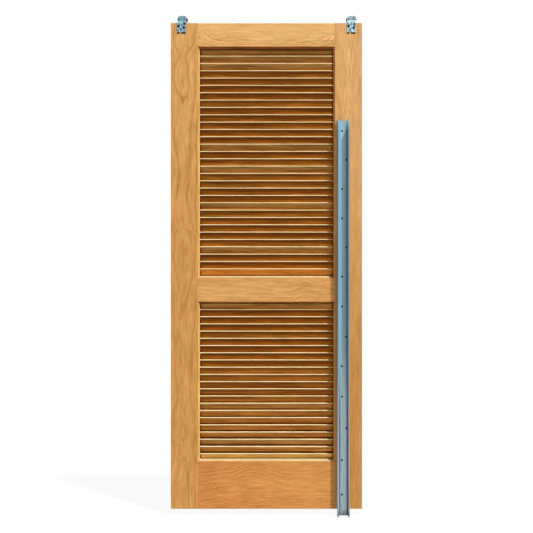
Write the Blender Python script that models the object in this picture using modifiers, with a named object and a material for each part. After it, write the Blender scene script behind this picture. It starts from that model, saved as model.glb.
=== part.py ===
"""Louvred closet door with its pair of twin-wheel hangers and the overhead track that lies on it.

Lengths are in metres. +X runs to the right, +Y goes through the door away from the hanger side, and
+Z is up. The origin is the middle of the door's bottom edge.
"""

import math

import bmesh
import bpy
from mathutils import Matrix, Vector

# Fits shared by every piece
CLEARANCE = 0.0003
CUT_OVERRUN = 0.004

# Door frame: two stiles with three rails between them
DOOR_HEIGHT = 2.032
DOOR_WIDTH = 0.800
DOOR_THICKNESS = 0.035
STILE_WIDTH = 0.121
TOP_RAIL_HEIGHT = 0.108
MID_RAIL_HEIGHT = 0.116
MID_RAIL_LEVEL = 0.858
BOTTOM_RAIL_HEIGHT = 0.207
STICKING = 0.008
EASED_EDGE = 0.0015

# Dowels that pin each rail end to its stile
DOWEL_DIAMETER = 0.010
DOWEL_LENGTH = 0.090
DOWEL_CHAMFER = 0.001
DOWEL_HEIGHT_SHARES = (0.25, 0.75)

# Louvres: flat slats with round edges, the edge on the hanger side held high
LOUVRE_THICKNESS = 0.0064
LOUVRE_TILT = math.radians(65.0)
LOUVRE_REVEAL = 0.002
LOUVRE_FAR_RECESS = 0.0057
LOUVRE_HOUSING = 0.010
HOUSING_LIP = 0.0005
LOUVRE_SPACING = 0.0305
UPPER_FIRST_LEVEL = 0.0295
UPPER_LAST_RISE = 0.0029
UPPER_SETS = 16
LOWER_FIRST_LEVEL = 0.0204
LOWER_LAST_RISE = 0.00486
LOWER_SETS = 11

# Hangers: a bent plate that is screwed to the door and carries two wheels above it
HANGER_INSET = 0.045
PLATE_WIDTH = 0.0375
PLATE_DROP = 0.039
PLATE_THICKNESS = 0.002
PLATE_CORNER = 0.002
JOG_START = 0.005
JOG_DEPTH = 0.006
PLATE_BEND = 0.003
HEAD_RISE = 0.031
HEAD_SHIFT = 0.002
HEAD_CORNER = 0.010
ADJUST_UP = 0.006
ADJUST_DOWN = 0.004

# Holes and stamped beads of the hanger plate, across its width and down from the door's top
SCREW_ACROSS_SHARES = (0.187, 0.760)
SCREW_DOWN_SHARES = (0.31, 0.50)
SPARE_HOLE_DIAMETER = 0.005
SPARE_HOLE_ACROSS_SHARE = 0.827
SPARE_HOLE_DOWN_SHARE = 0.128
OPEN_SLOT_WIDTH = 0.005
OPEN_SLOT_ACROSS_SHARE = 0.352
OPEN_SLOT_TOP_SHARE = 0.59
HEAD_HOLE_DIAMETER = 0.004
HEAD_HOLE_ACROSS_SHARE = 0.70
HEAD_HOLE_RISE_SHARE = 0.81
BEAD_WIDTH = 0.004
BEAD_PROUD = 0.0008
BEAD_LENGTH = 0.010
BEAD_ACROSS_SHARE = 0.560
BEAD_DOWN_SHARE = 0.820
BEAD_TURN = math.radians(45.0)
HEAD_BEAD_LENGTH = 0.013
HEAD_BEAD_RISE_SHARE = 0.66

# Hanger wheels and the stepped rivets that they turn on
WHEEL_DIAMETER = 0.0222
WHEEL_WIDTH = 0.006
WHEEL_SPACING = 0.0232
WHEEL_SET_BACK = 0.020
WHEEL_HUB_DIAMETER = 0.010
WHEEL_RIM_WALL = 0.0025
WHEEL_DISH = 0.0012
WHEEL_EDGE = 0.0008
JOURNAL_DIAMETER = 0.005
RIVET_SHANK_DIAMETER = 0.004
RIVET_SHOULDER_DIAMETER = 0.0075
RIVET_HEAD_DIAMETER = 0.008
RIVET_HEAD_HEIGHT = 0.0016
RIVET_EDGE_SHARE = 0.75

# Pan-head screws that hold the hanger plates
SCREW_SHANK_DIAMETER = 0.004
SCREW_LENGTH = 0.025
SCREW_POINT = 0.005
SCREW_HEAD_DIAMETER = 0.0085
SCREW_HEAD_HEIGHT = 0.0028
SCREW_CROWN_SHARES = (0.70, 0.88)
SCREW_EDGE_SHARE = 0.40
RECESS_SPAN = 0.0046
RECESS_WIDTH = 0.0012
RECESS_DEPTH = 0.0014

# Overhead track: a lipped channel that lies on the door with its mouth to the front
TRACK_LENGTH = 1.650
TRACK_OVERHANG = 0.027
TRACK_WIDTH = 0.0508
TRACK_DEPTH = 0.0254
TRACK_WALL = 0.0012
TRACK_LIP = 0.0065
TRACK_BEND = 0.0016
TRACK_FROM_EDGE = 0.080
TRACK_HOLE_DIAMETER = 0.005
TRACK_HOLE_DOWN_SHARES = (
    0.026, 0.099, 0.173, 0.247, 0.321, 0.395, 0.471, 0.547, 0.622, 0.699, 0.779, 0.860, 0.947)
TRACK_HOLE_PATTERN = (0, 1, 0)
TRACK_HOLE_ACROSS_SHARES = (-0.09, 0.265)

# How finely round things are drawn
ROUND_EDGE_STEPS = 4
BEND_STEPS = 3
CORNER_STEPS = 4
WHEEL_SEGMENTS = 24
PIN_SEGMENTS = 12
HOLE_SEGMENTS = 12

# Lengths worked out from the driving sizes
HALF_THICKNESS = DOOR_THICKNESS / 2
HALF_WIDTH = DOOR_WIDTH / 2
STILE_INNER = HALF_WIDTH - STILE_WIDTH
UPPER_SILL = MID_RAIL_LEVEL + MID_RAIL_HEIGHT
UPPER_HEAD = DOOR_HEIGHT - TOP_RAIL_HEIGHT
LOWER_SILL = BOTTOM_RAIL_HEIGHT
LOWER_HEAD = MID_RAIL_LEVEL
LOUVRE_RADIUS = LOUVRE_THICKNESS / 2
LOUVRE_NEAR = -HALF_THICKNESS + STICKING + LOUVRE_REVEAL + LOUVRE_RADIUS
LOUVRE_FAR = HALF_THICKNESS - LOUVRE_FAR_RECESS - LOUVRE_RADIUS
LOUVRE_RUN = LOUVRE_FAR - LOUVRE_NEAR
LOUVRE_FALL = LOUVRE_RUN * math.tan(LOUVRE_TILT)
HOUSING_NEAR = LOUVRE_NEAR - LOUVRE_RADIUS - HOUSING_LIP
HOUSING_FAR = LOUVRE_FAR + LOUVRE_RADIUS + HOUSING_LIP
WHEEL_RADIUS = WHEEL_DIAMETER / 2
WHEEL_LEVEL = HEAD_RISE - CLEARANCE - WHEEL_RADIUS

# Turns that lay an outline drawn in local XY across the door or along it
ALONG_X = Matrix(((0, 0, 1, 0), (1, 0, 0, 0), (0, 1, 0, 0), (0, 0, 0, 1)))
ALONG_Y = Matrix(((1, 0, 0, 0), (0, 0, -1, 0), (0, 1, 0, 0), (0, 0, 0, 1)))

# Finishes: colour, roughness, metallic
FINISHES = {
    "pine_frame": ((0.66, 0.36, 0.13), 0.42, 0.0),
    "pine_louvre": ((0.70, 0.42, 0.18), 0.45, 0.0),
    "beech_dowel": ((0.62, 0.45, 0.27), 0.60, 0.0),
    "zinc_plate": ((0.42, 0.52, 0.58), 0.38, 0.9),
    "zinc_screw": ((0.30, 0.36, 0.40), 0.42, 0.9),
    "grey_nylon": ((0.30, 0.31, 0.31), 0.50, 0.0),
    "galvanised_track": ((0.36, 0.44, 0.48), 0.45, 0.9),
}


def clear_scene():
    """Remove every object that the file starts with."""
    for old in list(bpy.data.objects):
        bpy.data.objects.remove(old, do_unlink=True)


def new_collection(name):
    """A collection linked to the scene."""
    collection = bpy.data.collections.new(name)
    bpy.context.scene.collection.children.link(collection)
    return collection


def make_finishes():
    """One Principled material for each finish."""
    materials = {}
    for name, (colour, roughness, metallic) in FINISHES.items():
        material = bpy.data.materials.new(name)
        material.use_nodes = True
        shader = material.node_tree.nodes["Principled BSDF"]
        shader.inputs["Base Color"].default_value = (*colour, 1)
        shader.inputs["Roughness"].default_value = roughness
        shader.inputs["Metallic"].default_value = metallic
        materials[name] = material
    return materials


def add_object(name, data, collection, matrix=None, parent=None):
    """An object of the given data, placed by a matrix under its parent."""
    thing = bpy.data.objects.new(name, data)
    collection.objects.link(thing)
    thing.parent = parent
    thing.matrix_local = matrix or Matrix()
    return thing


def finished(thing, material, angle=math.radians(40.0)):
    """Give an object its material and smooth its round faces."""
    thing.data.materials.clear()
    thing.data.materials.append(material)
    thing.data.shade_smooth()
    thing.data.set_sharp_from_angle(angle=angle)
    return thing


def as_cutter(thing):
    """Mark an object as a cutter, which stays out of renders and of the model."""
    thing.hide_render = True
    thing.display_type = "WIRE"
    return thing


def baked_mesh(thing):
    """The mesh of an object with its modifiers, after which the object is removed."""
    bpy.context.view_layer.update()
    evaluated = thing.evaluated_get(bpy.context.evaluated_depsgraph_get())
    mesh = bpy.data.meshes.new_from_object(evaluated)
    mesh.name = thing.name
    bpy.data.objects.remove(thing, do_unlink=True)
    return mesh


def tidy_mesh(mesh, weld=CLEARANCE / 100):
    """Weld the doubles of a closed mesh and turn its faces outwards."""
    shape = bmesh.new()
    shape.from_mesh(mesh)
    bmesh.ops.remove_doubles(shape, verts=shape.verts, dist=weld)
    bmesh.ops.recalc_face_normals(shape, faces=shape.faces)
    shape.to_mesh(mesh)
    shape.free()
    return mesh


def outline_mesh(name, points, thickness):
    """A flat outline in local XY with a thickness along local Z, half on each side."""
    curve = bpy.data.curves.new(name, "CURVE")
    curve.dimensions = "2D"
    curve.fill_mode = "BOTH"
    curve.extrude = thickness / 2
    spline = curve.splines.new("POLY")
    spline.points.add(len(points) - 1)
    for point, (x, y) in zip(spline.points, points):
        point.co = (x, y, 0, 1)
    spline.use_cyclic_u = True
    flat = add_object(name, curve, bpy.context.scene.collection)
    mesh = tidy_mesh(baked_mesh(flat))
    bpy.data.curves.remove(curve)
    return mesh


def box_mesh(name, low, high):
    """A box between two corners."""
    low, high = Vector(low), Vector(high)
    shape = bmesh.new()
    bmesh.ops.create_cube(shape, size=1)
    size = high - low
    bmesh.ops.scale(shape, vec=size, verts=shape.verts)
    bmesh.ops.translate(shape, vec=(low + high) / 2, verts=shape.verts)
    mesh = bpy.data.meshes.new(name)
    shape.to_mesh(mesh)
    shape.free()
    return mesh


def rod_mesh(name, radius, length, segments, matrix=None):
    """A round rod along local Z, centred on its own middle."""
    shape = bmesh.new()
    bmesh.ops.create_cone(
        shape, cap_ends=True, segments=segments, radius1=radius, radius2=radius, depth=length,
        matrix=matrix or Matrix())
    mesh = bpy.data.meshes.new(name)
    shape.to_mesh(mesh)
    shape.free()
    return mesh


def turned_mesh(name, profile, segments, ring=False):
    """A profile of (radius, height) turned about local Z; it runs down its outer side."""
    shape = bmesh.new()
    verts = [shape.verts.new((radius, 0, height)) for radius, height in profile]
    for first, second in zip(verts, verts[1:]):
        shape.edges.new((first, second))
    if ring:
        shape.edges.new((verts[-1], verts[0]))
    mesh = bpy.data.meshes.new(name)
    shape.to_mesh(mesh)
    shape.free()
    thing = add_object(name, mesh, bpy.context.scene.collection)
    screw = thing.modifiers.new("turn", "SCREW")
    screw.axis = "Z"
    screw.steps = screw.render_steps = segments
    screw.use_merge_vertices = True
    screw.merge_threshold = CLEARANCE / 100
    return tidy_mesh(baked_mesh(thing))


def joined_mesh(name, pieces):
    """Several (mesh, matrix) pieces in one mesh, as separate bodies."""
    shape = bmesh.new()
    for mesh, matrix in pieces:
        part = mesh.copy()
        part.transform(matrix)
        shape.from_mesh(part)
        bpy.data.meshes.remove(part)
    mesh = bpy.data.meshes.new(name)
    shape.to_mesh(mesh)
    shape.free()
    return mesh


def add_boolean(thing, operand, operation):
    """A Boolean modifier of the exact solver."""
    boolean = thing.modifiers.new(operation.lower(), "BOOLEAN")
    boolean.operation = operation
    boolean.solver = "EXACT"
    boolean.object = operand


def combined_mesh(name, base, steps):
    """A mesh with (operation, mesh, matrix) steps worked into it one after another."""
    scene = bpy.context.scene.collection
    thing = add_object(name, base, scene)
    operands = []
    for operation, mesh, matrix in steps:
        operands.append(add_object(name + "_step", mesh, scene, matrix))
        add_boolean(thing, operands[-1], operation)
    mesh = baked_mesh(thing)
    for operand in operands:
        bpy.data.objects.remove(operand, do_unlink=True)
    return tidy_mesh(mesh)


def arc(centre, radius, start, sweep, steps):
    """Points along an arc, both ends included; angles in radians."""
    angles = [start + sweep * step / steps for step in range(steps + 1)]
    return [(centre[0] + radius * math.cos(a), centre[1] + radius * math.sin(a)) for a in angles]


def slot_outline(centre, width, length, turn=0.0, steps=CORNER_STEPS):
    """A slot with round ends, its length along local Y before it is turned."""
    reach = (length - width) / 2
    along = Vector((-math.sin(turn), math.cos(turn))) * reach
    top, bottom = Vector(centre) + along, Vector(centre) - along
    return (arc(top, width / 2, turn, math.pi, steps)
            + arc(bottom, width / 2, turn + math.pi, math.pi, steps))


def bent_strip(path, wall, radius, steps=BEND_STEPS):
    """The outline of a sheet of even wall whose middle line follows a path with rounded bends."""
    path = [Vector(point) for point in path]
    middle = [(path[0], (path[1] - path[0]).normalized())]
    for before, corner, after in zip(path, path[1:], path[2:]):
        come, leave = (corner - before).normalized(), (after - corner).normalized()
        turn = come.angle_signed(leave)
        setback = radius * math.tan(abs(turn) / 2)
        side = Vector((-come.y, come.x)) * (-1 if turn > 0 else 1)
        centre = corner - come * setback + side * radius
        for step in range(steps + 1):
            swing = Matrix.Rotation(-turn * step / steps, 2)
            middle.append((centre - swing @ (side * radius), swing @ come))
    middle.append((path[-1], (path[-1] - path[-2]).normalized()))
    left = [point + Vector((-aim.y, aim.x)) * wall / 2 for point, aim in middle]
    right = [point - Vector((-aim.y, aim.x)) * wall / 2 for point, aim in middle]
    return [tuple(point) for point in left + right[::-1]]


def stile_outline(side, grow=0.0):
    """Section of a stile across the door, its inner edge bevelled on both faces and moved in by grow."""
    inner = STILE_INNER - grow
    half = HALF_THICKNESS + (CUT_OVERRUN if grow else 0)
    depth = STICKING + (CUT_OVERRUN if grow else 0)
    points = [
        (inner, half - depth), (inner, depth - half), (inner + depth, -half),
        (HALF_WIDTH - EASED_EDGE, -half), (HALF_WIDTH, EASED_EDGE - half),
        (HALF_WIDTH, half - EASED_EDGE), (HALF_WIDTH - EASED_EDGE, half), (inner + depth, half)]
    return [(side * x, y) for x, y in points]


def rail_outline(height, bevel_below, bevel_above):
    """Section of a rail, (y, z) up from its underside; an edge is bevelled to the louvres or just eased."""
    below = STICKING if bevel_below else EASED_EDGE
    above = STICKING if bevel_above else EASED_EDGE
    half = HALF_THICKNESS
    return [
        (-half, below), (below - half, 0), (half - below, 0), (half, below),
        (half, height - above), (half - above, height), (above - half, height), (-half, height - above)]


def rails():
    """Name, underside, height and bevelled edges of each rail."""
    return (
        ("bottom_rail", 0, BOTTOM_RAIL_HEIGHT, False, True),
        ("mid_rail", MID_RAIL_LEVEL, MID_RAIL_HEIGHT, True, True),
        ("top_rail", UPPER_HEAD, TOP_RAIL_HEIGHT, True, False))


def dowel_places():
    """Middle of each dowel, with the name of its rail, its side and its number."""
    for rail_name, foot, height, _, _ in rails():
        for side_name, side in (("left", -1), ("right", 1)):
            for number, share in enumerate(DOWEL_HEIGHT_SHARES, 1):
                place = Matrix.Translation((side * STILE_INNER, 0, foot + height * share)) @ ALONG_X
                yield f"{rail_name}_{side_name}_dowel_{number}", place


def make_frame_cutters(cutters):
    """The holes, grooves and copes that the frame members share."""
    hole = rod_mesh(
        "dowel_hole", DOWEL_DIAMETER / 2 + CLEARANCE, DOWEL_LENGTH + 2 * CLEARANCE, PIN_SEGMENTS)
    dowel_holes = joined_mesh("dowel_holes", [(hole, place) for _, place in dowel_places()])

    grooves = []
    for sill, head in ((LOWER_SILL, LOWER_HEAD), (UPPER_SILL, UPPER_HEAD)):
        reach = STILE_INNER + LOUVRE_HOUSING + CLEARANCE
        groove = box_mesh(
            "groove", (-reach, HOUSING_NEAR - CLEARANCE, sill), (reach, HOUSING_FAR + CLEARANCE, head))
        grooves.append((groove, Matrix()))
    louvre_grooves = joined_mesh("louvre_grooves", grooves)

    pilot = rod_mesh(
        "pilot", SCREW_SHANK_DIAMETER / 2 + CLEARANCE, SCREW_LENGTH + CUT_OVERRUN, PIN_SEGMENTS)
    reach = Matrix.Translation((0, (SCREW_LENGTH - CUT_OVERRUN) / 2 + CLEARANCE, 0)) @ ALONG_Y
    places = [Matrix.Translation(corner) @ Matrix.Translation(spot) @ reach
              for _, corner in hanger_corners() for spot in screw_spots()]
    screw_holes = joined_mesh("screw_holes", [(pilot, place) for place in places])

    cope_shift = CLEARANCE * math.sqrt(2)
    cope_length = DOOR_HEIGHT + 2 * CUT_OVERRUN
    middle = Matrix.Translation((0, 0, DOOR_HEIGHT / 2))
    copes = [(outline_mesh("cope", stile_outline(side, cope_shift), cope_length), middle)
             for side in (-1, 1)]
    rail_copes = joined_mesh("rail_copes", copes)
    tidy_mesh(rail_copes)

    meshes = (dowel_holes, louvre_grooves, screw_holes, rail_copes)
    return {mesh.name: as_cutter(add_object(mesh.name, mesh, cutters)) for mesh in meshes}


def make_frame(parts, cutters, finishes):
    """Stiles, rails and the dowels between them."""
    cuts = make_frame_cutters(cutters)
    for name, side in (("left_stile", -1), ("right_stile", 1)):
        mesh = outline_mesh(name, stile_outline(side), DOOR_HEIGHT)
        stile = add_object(name, mesh, parts, Matrix.Translation((0, 0, DOOR_HEIGHT / 2)))
        for cut in ("louvre_grooves", "dowel_holes", "screw_holes"):
            add_boolean(stile, cuts[cut], "DIFFERENCE")
        finished(stile, finishes["pine_frame"])

    rail_length = 2 * (STILE_INNER + STICKING)
    for name, foot, height, bevel_below, bevel_above in rails():
        mesh = outline_mesh(name, rail_outline(height, bevel_below, bevel_above), rail_length)
        rail = add_object(name, mesh, parts, Matrix.Translation((0, 0, foot)) @ ALONG_X)
        for cut in ("rail_copes", "dowel_holes"):
            add_boolean(rail, cuts[cut], "DIFFERENCE")
        finished(rail, finishes["pine_frame"])

    radius, reach = DOWEL_DIAMETER / 2, DOWEL_LENGTH / 2
    profile = [
        (0, reach), (radius - DOWEL_CHAMFER, reach), (radius, reach - DOWEL_CHAMFER),
        (radius, DOWEL_CHAMFER - reach), (radius - DOWEL_CHAMFER, -reach), (0, -reach)]
    dowel = turned_mesh("dowel", profile, PIN_SEGMENTS)
    for name, place in dowel_places():
        finished(add_object(name, dowel, parts, place), finishes["beech_dowel"])


def louvre_outline(level):
    """Section of a slat, (y, z) from its near edge's centre, raised to a level."""
    aim = -LOUVRE_TILT
    near, far = (0, level), (LOUVRE_RUN, level - LOUVRE_FALL)
    quarter = math.pi / 2
    return (arc(far, LOUVRE_RADIUS, aim - quarter, math.pi, ROUND_EDGE_STEPS)
            + arc(near, LOUVRE_RADIUS, aim + quarter, math.pi, ROUND_EDGE_STEPS))


def housing_outline(pitch, count):
    """Section of the spacer that fills the stile's groove around a set of slats."""
    slope = math.tan(LOUVRE_TILT)
    margin = pitch / 2 - CLEARANCE / math.cos(LOUVRE_TILT) / 2
    near, far = HOUSING_NEAR - LOUVRE_NEAR, HOUSING_FAR - LOUVRE_NEAR
    below, above = -margin, (count - 1) * pitch + margin
    return [
        (near, below - slope * near), (far, below - slope * far),
        (far, above - slope * far), (near, above - slope * near)]


def clipped(outline, low, high):
    """The part of a convex outline that lies between two levels of its second coordinate."""
    for side, limit in ((1, low), (-1, high)):
        kept = []
        for (x, z), (next_x, next_z) in zip(outline, outline[1:] + outline[:1]):
            inside, next_inside = side * (z - limit) >= 0, side * (next_z - limit) >= 0
            if inside:
                kept.append((x, z))
            if inside != next_inside:
                kept.append((x + (next_x - x) * (limit - z) / (next_z - z), limit))
        outline = kept
    return outline


def louvre_set_mesh(name, pitch, count, low, high):
    """Slats one pitch apart between two levels, glued at both ends to the spacers in the stiles."""
    length = 2 * (STILE_INNER + LOUVRE_HOUSING)
    spacer = outline_mesh("spacer", clipped(housing_outline(pitch, count), low, high), LOUVRE_HOUSING)
    slats = [outline_mesh("slat", clipped(louvre_outline(number * pitch), low, high), length)
             for number in range(count)]
    steps = []
    for side in (-1, 1):
        across = side * (STILE_INNER + LOUVRE_HOUSING / 2)
        steps.append(("UNION", spacer, Matrix.Translation((0, 0, across))))
    steps += [("UNION", slat, Matrix()) for slat in slats[1:]]
    return combined_mesh(name, slats[0], steps)


def louvre_panels():
    """Name, sill, head, level of the lowest slat, level of the topmost one and sets of each panel."""
    return (
        ("lower", LOWER_SILL, LOWER_HEAD, LOWER_SILL + LOWER_FIRST_LEVEL, LOWER_HEAD + LOWER_LAST_RISE,
         LOWER_SETS),
        ("upper", UPPER_SILL, UPPER_HEAD, UPPER_SILL + UPPER_FIRST_LEVEL, UPPER_HEAD + UPPER_LAST_RISE,
         UPPER_SETS))


def make_louvres(parts, finishes):
    """Both panels of slats, evenly spaced from the sill to the one ripped under the rail above."""
    for panel, sill, head, lowest, topmost, sets in louvre_panels():
        gaps = round((topmost - lowest) / LOUVRE_SPACING)
        pitch = (topmost - lowest) / gaps
        starts = [math.ceil((gaps + 1) * number / sets) for number in range(sets + 1)]
        meshes = {}
        for number, (start, following) in enumerate(zip(starts, starts[1:]), 1):
            level = lowest + start * pitch
            whole = 0 < start and following <= gaps
            key = following - start if whole else f"end_{number}"
            if key not in meshes:
                meshes[key] = louvre_set_mesh(
                    f"{panel}_set_{key}", pitch, following - start,
                    sill + CLEARANCE - level, head - CLEARANCE - level)
            place = Matrix.Translation((0, LOUVRE_NEAR, level)) @ ALONG_X
            louvres = add_object(f"{panel}_louvres_{number:02d}", meshes[key], parts, place)
            finished(louvres, finishes["pine_louvre"])


def hanger_corners():
    """Side name and origin of each hanger: on the door's near face, at its top edge."""
    across = HALF_WIDTH - HANGER_INSET
    return (
        ("left", (-across, -HALF_THICKNESS, DOOR_HEIGHT)),
        ("right", (across, -HALF_THICKNESS, DOOR_HEIGHT)))


def across_plate(share):
    """A place across the plate, from its middle, for a share from its left edge."""
    return PLATE_WIDTH * (share - 0.5)


def screw_spots():
    """Places of the hanger's screws on the door's face, from the hanger's origin."""
    return [(across_plate(across), 0, -PLATE_DROP * down)
            for across, down in zip(SCREW_ACROSS_SHARES, SCREW_DOWN_SHARES)]


def wheel_spots():
    """Places of the wheels' axes, from the hanger's origin, level with the door's near face."""
    return [(HEAD_SHIFT + side * WHEEL_SPACING / 2, 0, WHEEL_LEVEL) for side in (-1, 1)]


def plate_front_outline():
    """Front view of the hanger plate: square below, its head with round shoulders set to one side."""
    half, quarter = PLATE_WIDTH / 2, math.pi / 2
    foot, shoulder = PLATE_CORNER - PLATE_DROP, HEAD_RISE - HEAD_CORNER
    points = arc((PLATE_CORNER - half, foot), PLATE_CORNER, 2 * quarter, quarter, CORNER_STEPS)
    points += arc((half - PLATE_CORNER, foot), PLATE_CORNER, -quarter, quarter, CORNER_STEPS)
    points += [(half, JOG_START), (half + HEAD_SHIFT, JOG_START + JOG_DEPTH)]
    points += arc((half + HEAD_SHIFT - HEAD_CORNER, shoulder), HEAD_CORNER, 0, quarter, CORNER_STEPS)
    points += arc((HEAD_CORNER + HEAD_SHIFT - half, shoulder), HEAD_CORNER, quarter, quarter, CORNER_STEPS)
    points += [(HEAD_SHIFT - half, JOG_START + JOG_DEPTH), (-half, JOG_START)]
    return points


def plate_back():
    """How far the plate's middle line lies in front of the door's face."""
    return CLEARANCE + PLATE_THICKNESS / 2


def hanger_plate_mesh():
    """The bent plate with its slots, holes and stamped beads."""
    back = plate_back()
    path = [
        (-back, -PLATE_DROP - CUT_OVERRUN), (-back, JOG_START),
        (JOG_DEPTH - back, JOG_START + JOG_DEPTH), (JOG_DEPTH - back, HEAD_RISE + CUT_OVERRUN)]
    width = PLATE_WIDTH + 2 * (HEAD_SHIFT + CUT_OVERRUN)
    strip = outline_mesh("strip", bent_strip(path, PLATE_THICKNESS, PLATE_BEND), width)
    strip.transform(ALONG_X)

    deep = 2 * (JOG_DEPTH + PLATE_THICKNESS + CUT_OVERRUN)
    steps = [("INTERSECT", outline_mesh("front", plate_front_outline(), deep), ALONG_Y)]
    steps += plate_beads(back)
    travel = ADJUST_UP + ADJUST_DOWN
    slot_width = SCREW_SHANK_DIAMETER + 2 * CLEARANCE
    for across, _, level in screw_spots():
        centre = (across, level + (ADJUST_DOWN - ADJUST_UP) / 2)
        outline = slot_outline(centre, slot_width, travel + slot_width)
        steps.append(("DIFFERENCE", outline_mesh("slot", outline, deep), ALONG_Y))

    slot_top = -PLATE_DROP * OPEN_SLOT_TOP_SHARE
    slot_foot = -PLATE_DROP - CUT_OVERRUN - OPEN_SLOT_WIDTH
    centre = (across_plate(OPEN_SLOT_ACROSS_SHARE), (slot_top + slot_foot) / 2)
    outline = slot_outline(centre, OPEN_SLOT_WIDTH, slot_top - slot_foot)
    steps.append(("DIFFERENCE", outline_mesh("slot", outline, deep), ALONG_Y))

    spare = (across_plate(SPARE_HOLE_ACROSS_SHARE), -PLATE_DROP * SPARE_HOLE_DOWN_SHARE)
    head = (HEAD_SHIFT + across_plate(HEAD_HOLE_ACROSS_SHARE), HEAD_RISE * HEAD_HOLE_RISE_SHARE)
    holes = [(spare, SPARE_HOLE_DIAMETER), (head, HEAD_HOLE_DIAMETER)]
    holes += [((across, level), RIVET_SHANK_DIAMETER + 2 * CLEARANCE)
              for across, _, level in wheel_spots()]
    for (across, level), diameter in holes:
        hole = rod_mesh("hole", diameter / 2, deep, HOLE_SEGMENTS)
        steps.append(("DIFFERENCE", hole, Matrix.Translation((across, 0, level)) @ ALONG_Y))
    return combined_mesh("hanger_plate", strip, steps)


def plate_beads(back):
    """Stamped beads on the plate's front: one aslant below the screws, one upright on the head."""
    front = -back - PLATE_THICKNESS / 2
    thick = BEAD_PROUD + PLATE_THICKNESS / 2
    aslant = slot_outline((0, 0), BEAD_WIDTH, BEAD_LENGTH, -BEAD_TURN)
    upright = slot_outline((0, 0), BEAD_WIDTH, HEAD_BEAD_LENGTH)
    low = (across_plate(BEAD_ACROSS_SHARE), front - BEAD_PROUD + thick / 2, -PLATE_DROP * BEAD_DOWN_SHARE)
    high = (HEAD_SHIFT, front + JOG_DEPTH - BEAD_PROUD + thick / 2, HEAD_RISE * HEAD_BEAD_RISE_SHARE)
    return [("UNION", outline_mesh("bead", aslant, thick), Matrix.Translation(low) @ ALONG_Y),
            ("UNION", outline_mesh("bead", upright, thick), Matrix.Translation(high) @ ALONG_Y)]


def wheel_mesh():
    """A hanger wheel about local Z, dished on both faces between hub and rim."""
    bore = JOURNAL_DIAMETER / 2 + CLEARANCE
    hub, rim = WHEEL_HUB_DIAMETER / 2, WHEEL_RADIUS - WHEEL_RIM_WALL
    half, floor = WHEEL_WIDTH / 2, WHEEL_WIDTH / 2 - WHEEL_DISH
    upper = [
        (bore, half), (hub, half), (hub, floor), (rim, floor), (rim, half),
        (WHEEL_RADIUS - WHEEL_EDGE, half), (WHEEL_RADIUS, half - WHEEL_EDGE)]
    lower = [(radius, -height) for radius, height in reversed(upper)]
    return turned_mesh("wheel", upper + lower, WHEEL_SEGMENTS, ring=True)


def rivet_mesh():
    """A stepped rivet about local Z, which points out of the plate's front; zero is the door's face."""
    front = plate_back() + PLATE_THICKNESS / 2 - JOG_DEPTH
    wheel_front = WHEEL_WIDTH / 2 - WHEEL_SET_BACK
    wheel_rear = -WHEEL_WIDTH / 2 - WHEEL_SET_BACK
    head, shank = RIVET_HEAD_DIAMETER / 2, RIVET_SHANK_DIAMETER / 2
    shoulder, journal = RIVET_SHOULDER_DIAMETER / 2, JOURNAL_DIAMETER / 2
    crown = front + CLEARANCE + RIVET_HEAD_HEIGHT
    seat = front - PLATE_THICKNESS - CLEARANCE
    tail = wheel_rear - CLEARANCE
    edge = RIVET_HEAD_HEIGHT * RIVET_EDGE_SHARE
    profile = [
        (0, crown), ((head + shank) / 2, front + CLEARANCE + edge), (head, front + CLEARANCE),
        (shank, front + CLEARANCE), (shank, seat), (shoulder, seat), (shoulder, wheel_front + CLEARANCE),
        (journal, wheel_front + CLEARANCE), (journal, tail), (head, tail),
        ((head + shank) / 2, tail - edge), (0, tail - RIVET_HEAD_HEIGHT)]
    return turned_mesh("rivet", profile, PIN_SEGMENTS)


def cross_outline(span, width):
    """A cross for a screw's recess."""
    arm, half = span / 2, width / 2
    corner = [(arm, -half), (arm, half), (half, half)]
    points = []
    for turn in range(4):
        spin = Matrix.Rotation(turn * math.pi / 2, 2)
        points += [tuple(spin @ Vector(point)) for point in corner]
    return points


def screw_mesh():
    """A pan-head wood screw about local Z with a cross recess; zero is the plate's front."""
    head, shank = SCREW_HEAD_DIAMETER / 2, SCREW_SHANK_DIAMETER / 2
    front = plate_back() + PLATE_THICKNESS / 2 + CLEARANCE
    crown = front + SCREW_HEAD_HEIGHT
    across, rise = SCREW_CROWN_SHARES
    profile = [
        (0, crown), (head * across, front + SCREW_HEAD_HEIGHT * rise),
        (head, front + SCREW_HEAD_HEIGHT * SCREW_EDGE_SHARE), (head, front),
        (shank, front), (shank, SCREW_POINT - SCREW_LENGTH), (0, -SCREW_LENGTH)]
    recess = outline_mesh("recess", cross_outline(RECESS_SPAN, RECESS_WIDTH), 2 * RECESS_DEPTH)
    steps = [("DIFFERENCE", recess, Matrix.Translation((0, 0, crown)))]
    return combined_mesh("screw", turned_mesh("screw", profile, PIN_SEGMENTS), steps)


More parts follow.
